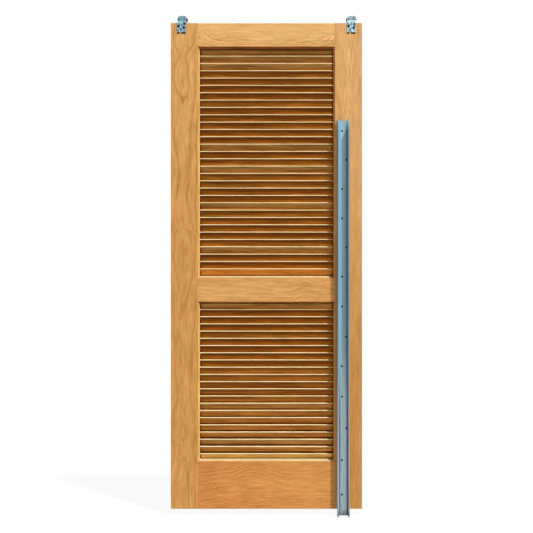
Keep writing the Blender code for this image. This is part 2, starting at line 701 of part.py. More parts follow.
def make_hangers(parts, finishes):
    """Both hangers: plate, rivets and wheels ride together, and the screws stay in the door."""
    plate, rivet, wheel, screw = hanger_plate_mesh(), rivet_mesh(), wheel_mesh(), screw_mesh()
    for side, corner in hanger_corners():
        hanger = add_object(f"{side}_hanger", None, parts, Matrix.Translation(corner))
        finished(add_object(f"{side}_hanger_plate", plate, parts, parent=hanger), finishes["zinc_plate"])
        for number, spot in enumerate(wheel_spots(), 1):
            axis = Matrix.Translation(spot) @ ALONG_Y
            centre = Matrix.Translation(Vector(spot) + Vector((0, WHEEL_SET_BACK, 0))) @ ALONG_Y
            pin = add_object(f"{side}_hanger_rivet_{number}", rivet, parts, axis, hanger)
            turner = add_object(f"{side}_hanger_wheel_{number}", wheel, parts, centre, hanger)
            finished(pin, finishes["zinc_plate"])
            finished(turner, finishes["grey_nylon"])
        for number, spot in enumerate(screw_spots(), 1):
            place = Matrix.Translation(corner) @ Matrix.Translation(spot) @ ALONG_Y
            driven = add_object(f"{side}_hanger_screw_{number}", screw, parts, place)
            finished(driven, finishes["zinc_screw"])


def track_holes():
    """Place across and down from the top of each screw hole in the track's web."""
    for number, down in enumerate(TRACK_HOLE_DOWN_SHARES):
        row = TRACK_HOLE_PATTERN[number % len(TRACK_HOLE_PATTERN)]
        yield TRACK_WIDTH * TRACK_HOLE_ACROSS_SHARES[row], TRACK_LENGTH * down


def make_track(parts, cutters, finishes):
    """The lipped channel, its web against the door and its mouth towards the front."""
    half = TRACK_WIDTH / 2 - TRACK_WALL / 2
    web, mouth = -TRACK_WALL / 2, TRACK_WALL / 2 - TRACK_DEPTH
    tip = TRACK_WIDTH / 2 - TRACK_LIP
    path = [(-tip, mouth), (-half, mouth), (-half, web), (half, web), (half, mouth), (tip, mouth)]
    section = bent_strip(path, TRACK_WALL, TRACK_BEND)
    top = TRACK_LENGTH - TRACK_OVERHANG
    middle = (HALF_WIDTH - TRACK_FROM_EDGE, -HALF_THICKNESS - CLEARANCE, top - TRACK_LENGTH / 2)
    mesh = outline_mesh("track", section, TRACK_LENGTH)
    track = add_object("track", mesh, parts, Matrix.Translation(middle))

    deep = 2 * (TRACK_WALL + CUT_OVERRUN)
    hole = rod_mesh("track_hole", TRACK_HOLE_DIAMETER / 2, deep, HOLE_SEGMENTS)
    places = [(hole, Matrix.Translation((middle[0] + across, middle[1], top - down)) @ ALONG_Y)
              for across, down in track_holes()]
    holes = joined_mesh("track_holes", places)
    add_boolean(track, as_cutter(add_object("track_holes", holes, cutters)), "DIFFERENCE")
    finished(track, finishes["galvanised_track"])


def main():
    """Model the whole door."""
    clear_scene()
    parts = new_collection("louvred_closet_door")
    cutters = new_collection("cutters")
    finishes = make_finishes()
    make_frame(parts, cutters, finishes)
    make_louvres(parts, finishes)
    make_hangers(parts, finishes)
    make_track(parts, cutters, finishes)


main()
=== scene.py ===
"""Looks of the louvred closet door: varnished pine, zinc-plated hangers and a galvanised track.

Lengths are in metres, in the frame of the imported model: +X to the right, +Y through the door away
from the hanger side, +Z up. Each piece takes its place from the frame's boxes.
"""

import logging
import math
from collections.abc import Iterator
from contextlib import contextmanager
from dataclasses import dataclass
from enum import Enum

import bmesh
import bpy
from mathutils import Matrix, Vector


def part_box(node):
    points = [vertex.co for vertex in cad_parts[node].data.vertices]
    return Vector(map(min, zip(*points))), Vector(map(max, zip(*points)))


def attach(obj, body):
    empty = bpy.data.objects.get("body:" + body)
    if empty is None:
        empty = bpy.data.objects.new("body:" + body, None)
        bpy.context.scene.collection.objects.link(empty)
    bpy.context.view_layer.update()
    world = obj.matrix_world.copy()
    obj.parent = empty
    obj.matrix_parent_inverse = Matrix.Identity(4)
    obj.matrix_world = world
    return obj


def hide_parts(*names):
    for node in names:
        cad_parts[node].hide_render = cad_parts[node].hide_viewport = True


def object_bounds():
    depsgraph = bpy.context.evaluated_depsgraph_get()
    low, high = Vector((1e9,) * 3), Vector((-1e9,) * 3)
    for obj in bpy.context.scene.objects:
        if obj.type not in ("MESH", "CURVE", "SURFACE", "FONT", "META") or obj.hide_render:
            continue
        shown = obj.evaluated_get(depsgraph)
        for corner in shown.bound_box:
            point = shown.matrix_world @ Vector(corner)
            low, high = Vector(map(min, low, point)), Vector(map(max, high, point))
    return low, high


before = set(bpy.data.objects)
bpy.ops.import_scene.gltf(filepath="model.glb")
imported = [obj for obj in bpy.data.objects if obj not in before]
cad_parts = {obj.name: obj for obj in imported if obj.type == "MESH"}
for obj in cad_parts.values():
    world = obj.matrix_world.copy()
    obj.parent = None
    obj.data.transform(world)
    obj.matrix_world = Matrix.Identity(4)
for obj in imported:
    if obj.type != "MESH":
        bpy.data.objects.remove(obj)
cad_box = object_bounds()

logging.basicConfig(level=logging.INFO, format="%(message)s")
log = logging.getLogger("closet_door")

WELD = 0.000001
CREASE = math.radians(30.0)
BRIGHTEST = 255
DISPLAY_KNEE, DISPLAY_SLOPE = 0.04045, 12.92
DISPLAY_LIFT, DISPLAY_POWER = 0.055, 2.4
MIX_FIRST, MIX_SECOND, MIX_RESULT = 6, 7, 2
FIBRE_BUMP, FIBRE_DEPTH = 0.25, 0.0002
SEED_ATTRIBUTE, RIM_ATTRIBUTE = "slat_seed", "hole_rim"
ARC_STEPS, FILLET_STEPS, SLAT_STEPS = 10, 6, 17
SLAT_ROUNDING, SLAT_TURN, SLAT_BOW_SCALE = 0.49, 0.012, (2.2, 90.0, 1.0)
TO_FRONT = Matrix.Rotation(math.pi / 2, 4, "X")
EIGHTH_TURN = math.tau / 8

# A Pair that scales a value holds its gain and its base. Pairs hold a ramp's stops or a curve's points.
Colour = tuple[int, int, int]
Pair = tuple[float, float]
Pairs = tuple[Pair, ...]
Triple = tuple[float, float, float]


class Side(Enum):
    """The two sides of the door, as seen from the hanger side."""

    LEFT = "left"
    RIGHT = "right"


class Grain(Enum):
    """Which way a board's grain runs."""

    UPRIGHT = "upright"
    LEVEL = "level"


def linear(colour: Colour) -> tuple[float, float, float, float]:
    """A display colour as the shader reads it.

    Args:
        colour: Red, green and blue from 0 to 255, as they show on a screen.

    Returns:
        The linear colour, with full alpha.
    """
    shares = [channel / BRIGHTEST for channel in colour]
    red, green, blue = (
        share / DISPLAY_SLOPE if share <= DISPLAY_KNEE
        else ((share + DISPLAY_LIFT) / (1 + DISPLAY_LIFT)) ** DISPLAY_POWER for share in shares)
    return red, green, blue, 1.0


class Graph:
    """A node tree with short calls that add nodes and join them."""

    def __init__(self, tree: bpy.types.NodeTree) -> None:
        """Start the tree empty.

        Args:
            tree: The shader or geometry tree to fill.
        """
        self.tree = tree
        tree.nodes.clear()

    def add(self, kind: str, inputs: dict | None = None, **settings: object) -> bpy.types.Node:
        """Add a node.

        Args:
            kind: Blender's name of the node's type.
            inputs: A value or another node's socket for each input, by name or number.
            **settings: Values of the node's own properties.

        Returns:
            The new node.
        """
        node = self.tree.nodes.new(kind)
        for key, value in settings.items():
            setattr(node, key, value)
        for key, value in (inputs or {}).items():
            if isinstance(value, bpy.types.NodeSocket):
                self.tree.links.new(value, node.inputs[key])
            else:
                node.inputs[key].default_value = value
        return node

    def math(self, operation: str, *values: object) -> bpy.types.NodeSocket:
        """The result of a Math node on up to three values."""
        return self.add("ShaderNodeMath", dict(enumerate(values)), operation=operation).outputs[0]

    def split(self, vector: bpy.types.NodeSocket) -> tuple[bpy.types.NodeSocket, ...]:
        """The X, Y and Z of a vector."""
        return tuple(self.add("ShaderNodeSeparateXYZ", {0: vector}).outputs)

    def join(self, x: object, y: object, z: object) -> bpy.types.NodeSocket:
        """A vector of three values."""
        return self.add("ShaderNodeCombineXYZ", {0: x, 1: y, 2: z}).outputs[0]

    def place(self) -> tuple[bpy.types.NodeSocket, ...]:
        """The X, Y and Z of the shaded place, in the piece's own frame."""
        return self.split(self.add("ShaderNodeTexCoord").outputs["Object"])

    def attribute(self, name: str) -> bpy.types.NodeSocket:
        """A number that the mesh keeps under this name."""
        return self.add("ShaderNodeAttribute", {}, attribute_name=name).outputs["Fac"]

    def clamped(self, value: bpy.types.NodeSocket) -> bpy.types.NodeSocket:
        """A value kept from 0 to 1."""
        return self.add("ShaderNodeClamp", {"Value": value}).outputs[0]

    def swayed(self, noise: bpy.types.NodeSocket, reach: object, base: object) -> bpy.types.NodeSocket:
        """A base value that noise moves up and down by up to half of a reach."""
        return self.math("MULTIPLY_ADD", self.math("SUBTRACT", noise, 0.5), reach, base)

    def vector(self, operation: str, first: object, second: object = (0.0, 0.0, 0.0)) -> bpy.types.Node:
        """A Vector Math node on two vectors."""
        return self.add("ShaderNodeVectorMath", {0: first, 1: second}, operation=operation)

    def noise(self, x: object, y: object, z: object, scales: Triple,
              detail: float = 2.0) -> bpy.types.NodeSocket:
        """Noise from 0 to 1 over three values.

        Args:
            x: First value.
            y: Second value.
            z: Third value.
            scales: How many lumps to the metre along each of the three.
            detail: How many finer layers the noise has.

        Returns:
            The noise's socket.
        """
        place = self.join(*(self.math("MULTIPLY", value, scale)
                            for value, scale in zip((x, y, z), scales)))
        sizes = {"Vector": place, "Scale": 1.0, "Detail": detail}
        return self.add("ShaderNodeTexNoise", sizes).outputs[0]

    def mix(self, factor: object, first: object, second: object,
            blend: str = "MIX") -> bpy.types.NodeSocket:
        """A mix of two colours.

        Args:
            factor: Share of the second colour.
            first: A colour or its socket.
            second: A colour or its socket.
            blend: Blender's name of the blend.

        Returns:
            The mixed colour's socket.
        """
        colours = {0: factor, MIX_FIRST: first, MIX_SECOND: second}
        node = self.add("ShaderNodeMix", colours, data_type="RGBA", blend_type=blend)
        return node.outputs[MIX_RESULT]

    def ramp(self, factor: object, stops: Pairs) -> bpy.types.NodeSocket:
        """A smooth ramp of grey levels.

        Args:
            factor: The value that is looked up.
            stops: Place and level of each stop, from 0 to 1.

        Returns:
            The level's socket.
        """
        node = self.add("ShaderNodeValToRGB", {0: factor})
        ramp = node.color_ramp
        ramp.interpolation = "EASE"
        while len(ramp.elements) < len(stops):
            ramp.elements.new(0.5)
        for element, (place, level) in zip(ramp.elements, stops):
            element.position = place
            element.color = (level, level, level, 1.0)
        return self.add("ShaderNodeSeparateColor", {0: node.outputs[0]}).outputs[0]

    def profile(self, value: object, points: Pairs) -> bpy.types.NodeSocket:
        """A smooth curve through given points.

        Args:
            value: The place that is looked up, in metres.
            points: Place and height of each point, in metres, in order of place.

        Returns:
            The height's socket, in metres.
        """
        start, reach = points[0][0], points[-1][0] - points[0][0]
        low = min(height for _, height in points)
        rise = max(height for _, height in points) - low
        share = self.math("MULTIPLY_ADD", value, 1 / reach, -start / reach)
        node = self.add("ShaderNodeFloatCurve", {"Value": share})
        curve = node.mapping.curves[0]
        shares = [((place - start) / reach, (height - low) / rise) for place, height in points]
        curve.points[0].location, curve.points[1].location = shares[0], shares[-1]
        for spot in shares[1:-1]:
            curve.points.new(*spot)
        node.mapping.update()
        return self.math("MULTIPLY_ADD", node.outputs[0], rise, low)


def new_shader(name: str) -> tuple[bpy.types.Material, Graph]:
    """An empty material and its graph."""
    material = bpy.data.materials.new(name)
    material.use_nodes = True
    return material, Graph(material.node_tree)


def close_shader(graph: Graph, inputs: dict) -> None:
    """End a material's graph in a Principled shader with these inputs."""
    shader = graph.add("ShaderNodeBsdfPrincipled", inputs)
    graph.add("ShaderNodeOutputMaterial", {"Surface": shader.outputs[0]})


@dataclass(frozen=True)
class PineFigure:
    """The figure that all the pine shares: rings about the pith, fibres, streaks and mottling.

    Scales count lumps to the metre across the board, through it and along it.
    """

    name: str = "pine_figure"
    seed_step: float = 13.0
    wander_scale: Triple = (16.0, 16.0, 5.0)
    ripple_scale: Triple = (80.0, 80.0, 45.0)
    ripple_detail: float = 4.0
    least_slant: float = 0.09
    line_middle: float = 0.72
    late_wood: Pairs = ((0.0, 0.0), (0.42, 0.22), (0.68, 0.95), (0.78, 0.9), (0.94, 0.0))
    ring_strength: Pair = (0.45, 0.55)
    patch_scale: Triple = (28.0, 28.0, 9.0)
    patches: Pairs = ((0.30, 0.45), (0.62, 1.0))
    mottle_scale: Triple = (34.0, 34.0, 9.0)
    fibre_scale: Triple = (1500.0, 1500.0, 28.0)
    streak_scale: Triple = (170.0, 170.0, 16.0)
    fine_detail: float = 3.0
    mottle: float = 0.42
    streaks: Pair = (0.55, 0.45)
    fibres: float = 0.22
    warmth: float = 1.5
    roughness: Pair = (0.10, 0.34)

    def start(self) -> Graph:
        """The group's graph with its sockets.

        Returns:
            The graph of the new group.
        """
        tree = bpy.data.node_groups.new(self.name, "ShaderNodeTree")
        sockets = (
            ("INPUT", "NodeSocketFloat", (
                "Across", "Depth", "Along", "Ring Width", "Line Width", "Wander", "Ripple", "Seed",
                "Contrast")),
            ("INPUT", "NodeSocketColor", ("Early", "Late")),
            ("OUTPUT", "NodeSocketColor", ("Color",)),
            ("OUTPUT", "NodeSocketFloat", ("Roughness", "Height")))
        graph = Graph(tree)
        for way, kind, names in sockets:
            for name in names:
                tree.interface.new_socket(name=name, in_out=way, socket_type=kind)
        return graph

    def late_share(self, graph: Graph, given: bpy.types.bpy_prop_collection,
                   shifted: bpy.types.NodeSocket) -> bpy.types.NodeSocket:
        """How much of the dark late wood shows at a place.

        Args:
            graph: The group's graph.
            given: The group's inputs.
            shifted: Place along the board, moved by its seed.

        Returns:
            The share's socket.
        """
        across, depth = given["Across"], given["Depth"]
        slow = graph.noise(across, depth, shifted, self.wander_scale)
        quick = graph.noise(across, depth, shifted, self.ripple_scale, self.ripple_detail)
        squares = [graph.math("MULTIPLY", side, side) for side in (across, depth)]
        straight = graph.math("SQRT", graph.math("ADD", *squares))
        radius = graph.swayed(slow, given["Wander"], straight)
        radius = graph.swayed(quick, given["Ripple"], radius)
        rings = graph.math("DIVIDE", radius, given["Ring Width"])
        number = graph.math("ROUND", rings)
        strength = graph.add("ShaderNodeTexWhiteNoise", {"W": number}, noise_dimensions="1D").outputs[0]
        lean = graph.math("DIVIDE", graph.math("ABSOLUTE", across), straight)
        slant = graph.math("ADD", lean, self.least_slant)
        away = graph.math("MULTIPLY", graph.math("SUBTRACT", rings, number), given["Ring Width"])
        away = graph.math("DIVIDE", away, slant)
        place = graph.math("DIVIDE", away, given["Line Width"])
        late = graph.ramp(graph.math("MULTIPLY_ADD", place, 0.5, self.line_middle), self.late_wood)
        patches = graph.noise(across, depth, shifted, self.patch_scale)
        late = graph.math("MULTIPLY", late, graph.math("MULTIPLY_ADD", strength, *self.ring_strength))
        return graph.math("MULTIPLY", late, graph.ramp(patches, self.patches))

    def group(self) -> bpy.types.NodeTree:
        """Make the group, once.

        Returns:
            The shader group.
        """
        made = bpy.data.node_groups.get(self.name)
        if made:
            return made
        graph = self.start()
        given = graph.add("NodeGroupInput").outputs
        seed = graph.math("MULTIPLY", given["Seed"], self.seed_step)
        place = given["Across"], given["Depth"], graph.math("ADD", given["Along"], seed)
        late = self.late_share(graph, given, place[-1])
        mottle, fibres, streaks = (
            graph.noise(*place, scale, self.fine_detail)
            for scale in (self.mottle_scale, self.fibre_scale, self.streak_scale))
        colour = graph.mix(
            graph.math("MULTIPLY", late, given["Contrast"]), given["Early"], given["Late"])
        shade = graph.swayed(mottle, self.mottle, 1.0)
        shade = graph.swayed(streaks, graph.math("MULTIPLY_ADD", given["Contrast"], *self.streaks), shade)
        shade = graph.swayed(fibres, self.fibres, shade)
        warm = graph.join(shade, shade, graph.math("POWER", shade, self.warmth))
        graph.add("NodeGroupOutput", {
            "Color": graph.mix(1.0, colour, warm, "MULTIPLY"),
            "Roughness": graph.math("MULTIPLY_ADD", fibres, *self.roughness),
            "Height": graph.math("MULTIPLY_ADD", late, -0.5, fibres)})
        return graph.tree


@dataclass(frozen=True)
class BevelShading:
    """Painted light on the moulding along one inner edge of a board: painted shade on a slope that
    faces away from the light, a painted highlight on one that faces it.

    Its line is a painted shadow in the crevice at the inner edge, and its spill is the share of the
    tone that lies on the flat face beside the slope.
    """

    edge: float
    # By default, painted shade for a bevel that faces down, away from the light.
    inner: Colour = (86, 42, 3)
    outer: Colour = (116, 62, 10)
    line: float = 0.95
    crevice_shadow: Colour = (26, 10, 2)
    reach: float = 0.0085
    spill: float = 1.0
    flat_facing: float = -0.97
    fade_from: float = 0.88
    line_share: Pair = (0.1, 0.2)

    def over(self, graph: Graph, across: bpy.types.NodeSocket, facing: bpy.types.NodeSocket,
             wood: bpy.types.NodeSocket) -> bpy.types.NodeSocket:
        """Lay the painted shade or highlight over the wood's colour.

        Args:
            graph: The material's graph.
            across: Place across the board.
            facing: The Y of the surface's normal.
            wood: The wood's colour.

        Returns:
            The colour's socket.
        """
        off_edge = graph.math("ABSOLUTE", graph.math("SUBTRACT", across, self.edge))
        share = graph.clamped(graph.math("DIVIDE", off_edge, self.reach))
        tone = graph.mix(share, linear(self.inner), linear(self.outer))
        sloping = graph.math("GREATER_THAN", facing, self.flat_facing)
        band = graph.ramp(share, ((0.0, 1.0), (self.fade_from, 1.0), (1.0, 0.0)))
        band = graph.math("MULTIPLY", graph.math("MAXIMUM", sloping, self.spill), band)
        # The dark line is painted shadow in the crevice at the board's inner edge.
        full, end = self.line_share
        line = graph.ramp(share, ((0.0, self.line), (full, self.line), (end, 0.0)))
        return graph.mix(line, graph.mix(band, wood, tone), linear(self.crevice_shadow))


@dataclass(frozen=True)
class ShadePatch:
    """A patch of painted shade on a board's face, under something that is fixed to it or lies on it."""

    across: float
    level: float
    reach: float
    rise: float
    lumps: float = 420.0
    wobble: float = 0.9
    sharpness: float = 3.0

    def share(self, graph: Graph, place: bpy.types.NodeSocket) -> bpy.types.NodeSocket:
        """How dark the mark is at a place, from 0 to 1.

        Args:
            graph: The material's graph.
            place: The place, with its Y left out.

        Returns:
            The darkness's socket.
        """
        off = graph.vector("SUBTRACT", place, (self.across, 0.0, self.level))
        scaled = graph.vector("MULTIPLY", off.outputs[0], (1 / self.reach, 1.0, 1 / self.rise))
        length = graph.vector("LENGTH", scaled.outputs[0]).outputs["Value"]
        x, _, z = graph.split(place)
        ragged = graph.noise(x, z, self.across, (self.lumps, self.lumps, 1.0))
        ragged = graph.swayed(ragged, self.wobble, length)
        return graph.clamped(graph.math("MULTIPLY_ADD", ragged, -self.sharpness, self.sharpness))


@dataclass(frozen=True)
class PineFinish:
    """Varnished pine: rings about a pith that wanders behind the board's face."""

    name: str
    grain: Grain
    early: Colour
    late: Colour
    far_early: Colour
    fade: Pair
    drift: Pairs
    swell: Pairs
    strength: Pairs
    ring_width: float = 0.0065
    line_width: float = 0.0042
    ripple: float = 0.0020
    wander: float = 0.0016
    bare_side: float = 0.0
    bevel_shading: tuple[BevelShading, ...] = ()
    gloss: float = 0.12
    seed: float = 0.0
    # Colour of the painted shade patches.
    painted_shade: Colour = (24, 14, 9)

    def material(self, face: float, marks: tuple[ShadePatch, ...] = ()) -> bpy.types.Material:
        """Make the material.

        Args:
            face: The Y of the board's hanger-side face.
            marks: Patches of painted shade on that face.

        Returns:
            The board's own material.
        """
        material, graph = new_shader(self.name)
        place = graph.add("ShaderNodeTexCoord").outputs
        x, y, z = graph.split(place["Object"])
        facing = graph.split(place["Normal"])[1]
        along, across = (z, x) if self.grain is Grain.UPRIGHT else (x, z)
        start, end = self.fade
        faded = graph.math("MULTIPLY_ADD", along, 1 / (end - start), -start / (end - start))
        early = graph.mix(graph.clamped(faded), linear(self.early), linear(self.far_early))
        depth = graph.math("ADD", graph.math("SUBTRACT", y, face), graph.profile(along, self.swell))
        # Painted shade and painted highlights on the bevels.
        for moulding in self.bevel_shading:
            early = moulding.over(graph, across, facing, early)
        # Painted shade patches on the face under the hardware.
        flat, forward = graph.join(x, 0.0, z), graph.math("LESS_THAN", y, face + WELD)
        for mark in marks:
            share = graph.math("MULTIPLY", mark.share(graph, flat), forward)
            early = graph.mix(share, early, linear(self.painted_shade))
        figure = graph.add("ShaderNodeGroup", {}, node_tree=PineFigure().group())
        off_pith = graph.math("SUBTRACT", across, graph.profile(along, self.drift))
        bare = graph.math("MULTIPLY", graph.math("GREATER_THAN", off_pith, 0.0), self.bare_side)
        shown = graph.math("SUBTRACT", 1.0, bare)
        contrast = graph.math("MULTIPLY", graph.profile(along, self.strength), shown)
        values = {
            "Across": off_pith, "Depth": depth, "Along": along, "Ring Width": self.ring_width,
            "Line Width": self.line_width, "Wander": self.wander, "Ripple": self.ripple,
            "Seed": self.seed, "Contrast": contrast, "Early": early, "Late": linear(self.late)}
        close_varnish(graph, figure, values, self.gloss)
        return material


def close_varnish(graph: Graph, figure: bpy.types.Node, values: dict, gloss: float) -> None:
    """Feed a pine figure and cover it with satin varnish.

    Args:
        graph: The material's graph.
        figure: The figure group's node.
        values: A value or socket for each of its inputs.
        gloss: Strength of the varnish's reflections.
    """
    for key, value in values.items():
        if isinstance(value, bpy.types.NodeSocket):
            graph.tree.links.new(value, figure.inputs[key])
        else:
            figure.inputs[key].default_value = value
    bump = graph.add("ShaderNodeBump", {
        "Strength": FIBRE_BUMP, "Distance": FIBRE_DEPTH, "Height": figure.outputs["Height"]})
    close_shader(graph, {
        "Base Color": figure.outputs["Color"], "Roughness": figure.outputs["Roughness"],
        "Normal": bump.outputs[0], "Specular IOR Level": gloss})


@dataclass(frozen=True)
class SlatFinish:
    """Varnished pine of the slats, each cut from another place in the log, with painted light: painted
    highlights on the front edges, painted shade and glow across each strip, a painted glow on each
    panel's lowest slat, and painted shade at the slats' ends and under the top rail.

    A slat's seed is from 0 to 1. It is 1 more on the topmost slat of a panel and 2 more on the lowest.
    """

    name: str = "slat_pine"
    # Painted shade and glow: the upper strips dark near the front and glowing behind, the lower ones with
    # a shadowed gap behind.
    high: Colour = (130, 72, 20)
    high_glow: Colour = (255, 168, 46)
    low: Colour = (236, 160, 74)
    low_gap_shade: Colour = (52, 16, 1)
    darker: Colour = (222, 206, 186)
    late: Colour = (80, 40, 6)
    olive: Colour = (206, 158, 88)
    # Painted glow of light bounced off each sill, on the lowest slats.
    high_sill_glow: Colour = (236, 146, 58)
    low_sill_glow: Colour = (255, 190, 100)
    # Painted highlights along the front edges.
    edge_highlight_low: Colour = (214, 203, 160)
    edge_highlight_high: Colour = (222, 206, 154)
    far_side: Colour = (232, 164, 92)
    end_shade: Colour = (44, 12, 2)
    housing_shade: float = 0.007
    head_shade: float = 0.0035
    sill_reach: float = 0.008
    ring_width: float = 0.0042
    line_width: float = 0.0020
    pith_depth: float = 0.09
    gloss: float = 0.05
    own_steps: Pair = (57.0, 131.0)
    rise_top: float = 0.72
    warm_light: Pairs = ((0.10, 0.0), (0.32, 0.25), (0.54, 1.0))
    gap_shadow: Pairs = ((0.45, 0.0), (0.57, 1.0))
    olive_above: float = 0.84
    olive_strength: Pair = (-0.8, 0.9)
    sill_foot_shade: Pairs = ((0.35, 0.8), (0.55, 0.0))
    streak_scale: Triple = (3.5, 260.0, 260.0)
    streak_detail: float = 3.0
    streaks: Pairs = ((0.36, 1.0), (0.54, 0.0))
    streak_strength: Pair = (-0.4, 0.58)
    end_darkness: Pairs = ((0.0, 0.95), (0.5, 0.6), (1.0, 0.0))
    head_darkness: Pairs = ((0.5, 0.92), (1.0, 0.0))
    edge_behind: float = 0.12
    edge_facing: float = -0.2
    seed_shift: float = 0.09
    slant: float = 0.03
    depth_shift: float = 0.05
    wander: float = 0.0016
    ripple: float = 0.0012
    contrast: Pair = (-0.7, 0.75)

    def material(self, near: float, far: float, stile: float, head: float,
                 sills: Pair) -> bpy.types.Material:
        """The one material that all slats share.

        Args:
            near: The Y of the slats' front edges.
            far: The Y of their back edges.
            stile: The X of the right stile's inner edge.
            head: Level of the top rail's foot.
            sills: Levels of the lower and the upper panel's sill.

        Returns:
            The material.
        """
        material, graph = new_shader(self.name)
        place = graph.add("ShaderNodeTexCoord").outputs
        x, y, z = graph.split(place["Object"])
        _, facing, upward = graph.split(place["Normal"])
        seed = graph.attribute(SEED_ATTRIBUTE)
        other, olive = (
            graph.math("FRACT", graph.math("MULTIPLY", seed, step)) for step in self.own_steps)
        outermost, lowest = (graph.math("GREATER_THAN", seed, least) for least in (1.0, 2.0))
        behind = graph.math("MULTIPLY_ADD", y, 1 / (far - near), -near / (far - near))
        upper = graph.math("GREATER_THAN", z, sills[1] - self.sill_reach)
        height = graph.clamped(graph.math("DIVIDE", z, sills[1]))
        rise = graph.ramp(height, ((sills[0] / sills[1], 0.0), (self.rise_top, 1.0)))

        # Painted shade and painted glow across each strip, the upper and lower panels' kinds blended by
        # height.
        warm, gap = graph.ramp(behind, self.warm_light), graph.ramp(behind, self.gap_shadow)
        high = graph.mix(warm, linear(self.high), linear(self.high_glow))
        low = graph.mix(gap, linear(self.low), linear(self.low_gap_shade))
        early = graph.mix(rise, low, high)
        olive = graph.math("MAXIMUM", outermost, graph.math("GREATER_THAN", olive, self.olive_above))
        olive = graph.math("MULTIPLY", olive, graph.math("MULTIPLY_ADD", warm, *self.olive_strength))
        early = graph.mix(olive, early, linear(self.olive))
        early = graph.mix(other, early, linear(self.darker), "MULTIPLY")
        # The lowest slat's painted glow, with painted shade at its foot.
        sill = graph.mix(upper, linear(self.low_sill_glow), linear(self.high_sill_glow))
        early = graph.mix(lowest, early, sill)
        level = graph.math("MULTIPLY_ADD", upper, sills[1] - sills[0], sills[0])
        off_sill = graph.math("DIVIDE", graph.math("SUBTRACT", z, level), self.sill_reach)
        foot = graph.math("MULTIPLY", graph.ramp(off_sill, self.sill_foot_shade), lowest)
        early = graph.mix(foot, early, linear(self.low_gap_shade))
        early = graph.mix(graph.math("GREATER_THAN", facing, 0.0), early, linear(self.far_side))

        streaks = graph.noise(x, y, graph.math("ADD", seed, z), self.streak_scale, self.streak_detail)
        share = graph.math("MULTIPLY_ADD", lowest, *self.streak_strength)
        share = graph.math("MULTIPLY", graph.ramp(streaks, self.streaks), share)
        early = graph.mix(share, early, linear(self.late))
        off_end = graph.math("SUBTRACT", stile, graph.math("ABSOLUTE", x))
        off_head = graph.math("SUBTRACT", head, z)
        for off, reach, darkness in (
                (off_end, self.housing_shade, self.end_darkness),
                (off_head, self.head_shade, self.head_darkness)):
            share = graph.ramp(graph.math("DIVIDE", off, reach), darkness)
            early = graph.mix(share, early, linear(self.end_shade))
        # Painted highlight on each front edge, but not on the topmost slat.
        pale = graph.mix(rise, linear(self.edge_highlight_low), linear(self.edge_highlight_high))
        front = graph.math("LESS_THAN", behind, self.edge_behind)
        front = graph.math("MULTIPLY", front, graph.math("GREATER_THAN", upward, self.edge_facing))
        topmost = graph.math("SUBTRACT", outermost, lowest)
        front = graph.math("MULTIPLY", front, graph.math("SUBTRACT", 1.0, topmost))
        early = graph.mix(front, early, pale)

        figure = graph.add("ShaderNodeGroup", {}, node_tree=PineFigure().group())
        across = graph.math("MULTIPLY_ADD", x, self.slant, z)
        depth = graph.math("ADD", y, self.pith_depth)
        close_varnish(graph, figure, {
            "Across": graph.math("MULTIPLY_ADD", seed, self.seed_shift, across),
            "Depth": graph.math("MULTIPLY_ADD", other, self.depth_shift, depth),
            "Along": x, "Ring Width": self.ring_width, "Line Width": self.line_width,
            "Wander": self.wander, "Ripple": self.ripple, "Seed": seed,
            "Contrast": graph.math("MULTIPLY_ADD", front, *self.contrast),
            "Early": early, "Late": linear(self.late)}, self.gloss)
        return material


@dataclass(frozen=True)
class DowelFinish:
    """Bare beech with its fine flecks."""

    name: str = "beech"
    light: Colour = (214, 184, 142)
    dark: Colour = (176, 138, 96)
    fibre_scale: Triple = (40.0, 900.0, 900.0)
    fibre_detail: float = 3.0
    fleck_scale: Triple = (260.0, 1500.0, 1500.0)
    flecks: Pairs = ((0.0, 0.0), (0.55, 0.1), (0.7, 1.0))
    fleck_share: float = 0.4
    roughness: Pair = (0.1, 0.55)

    def material(self) -> bpy.types.Material:
        """The dowels' material, with its grain along X."""
        material, graph = new_shader(self.name)
        x, y, z = graph.place()
        fibres = graph.noise(x, y, z, self.fibre_scale, self.fibre_detail)
        flecks = graph.ramp(graph.noise(x, y, z, self.fleck_scale), self.flecks)
        share = graph.math("MULTIPLY_ADD", flecks, self.fleck_share, fibres)
        close_shader(graph, {
            "Base Color": graph.mix(share, linear(self.light), linear(self.dark)),
            "Roughness": graph.math("MULTIPLY_ADD", fibres, *self.roughness)})
        return material


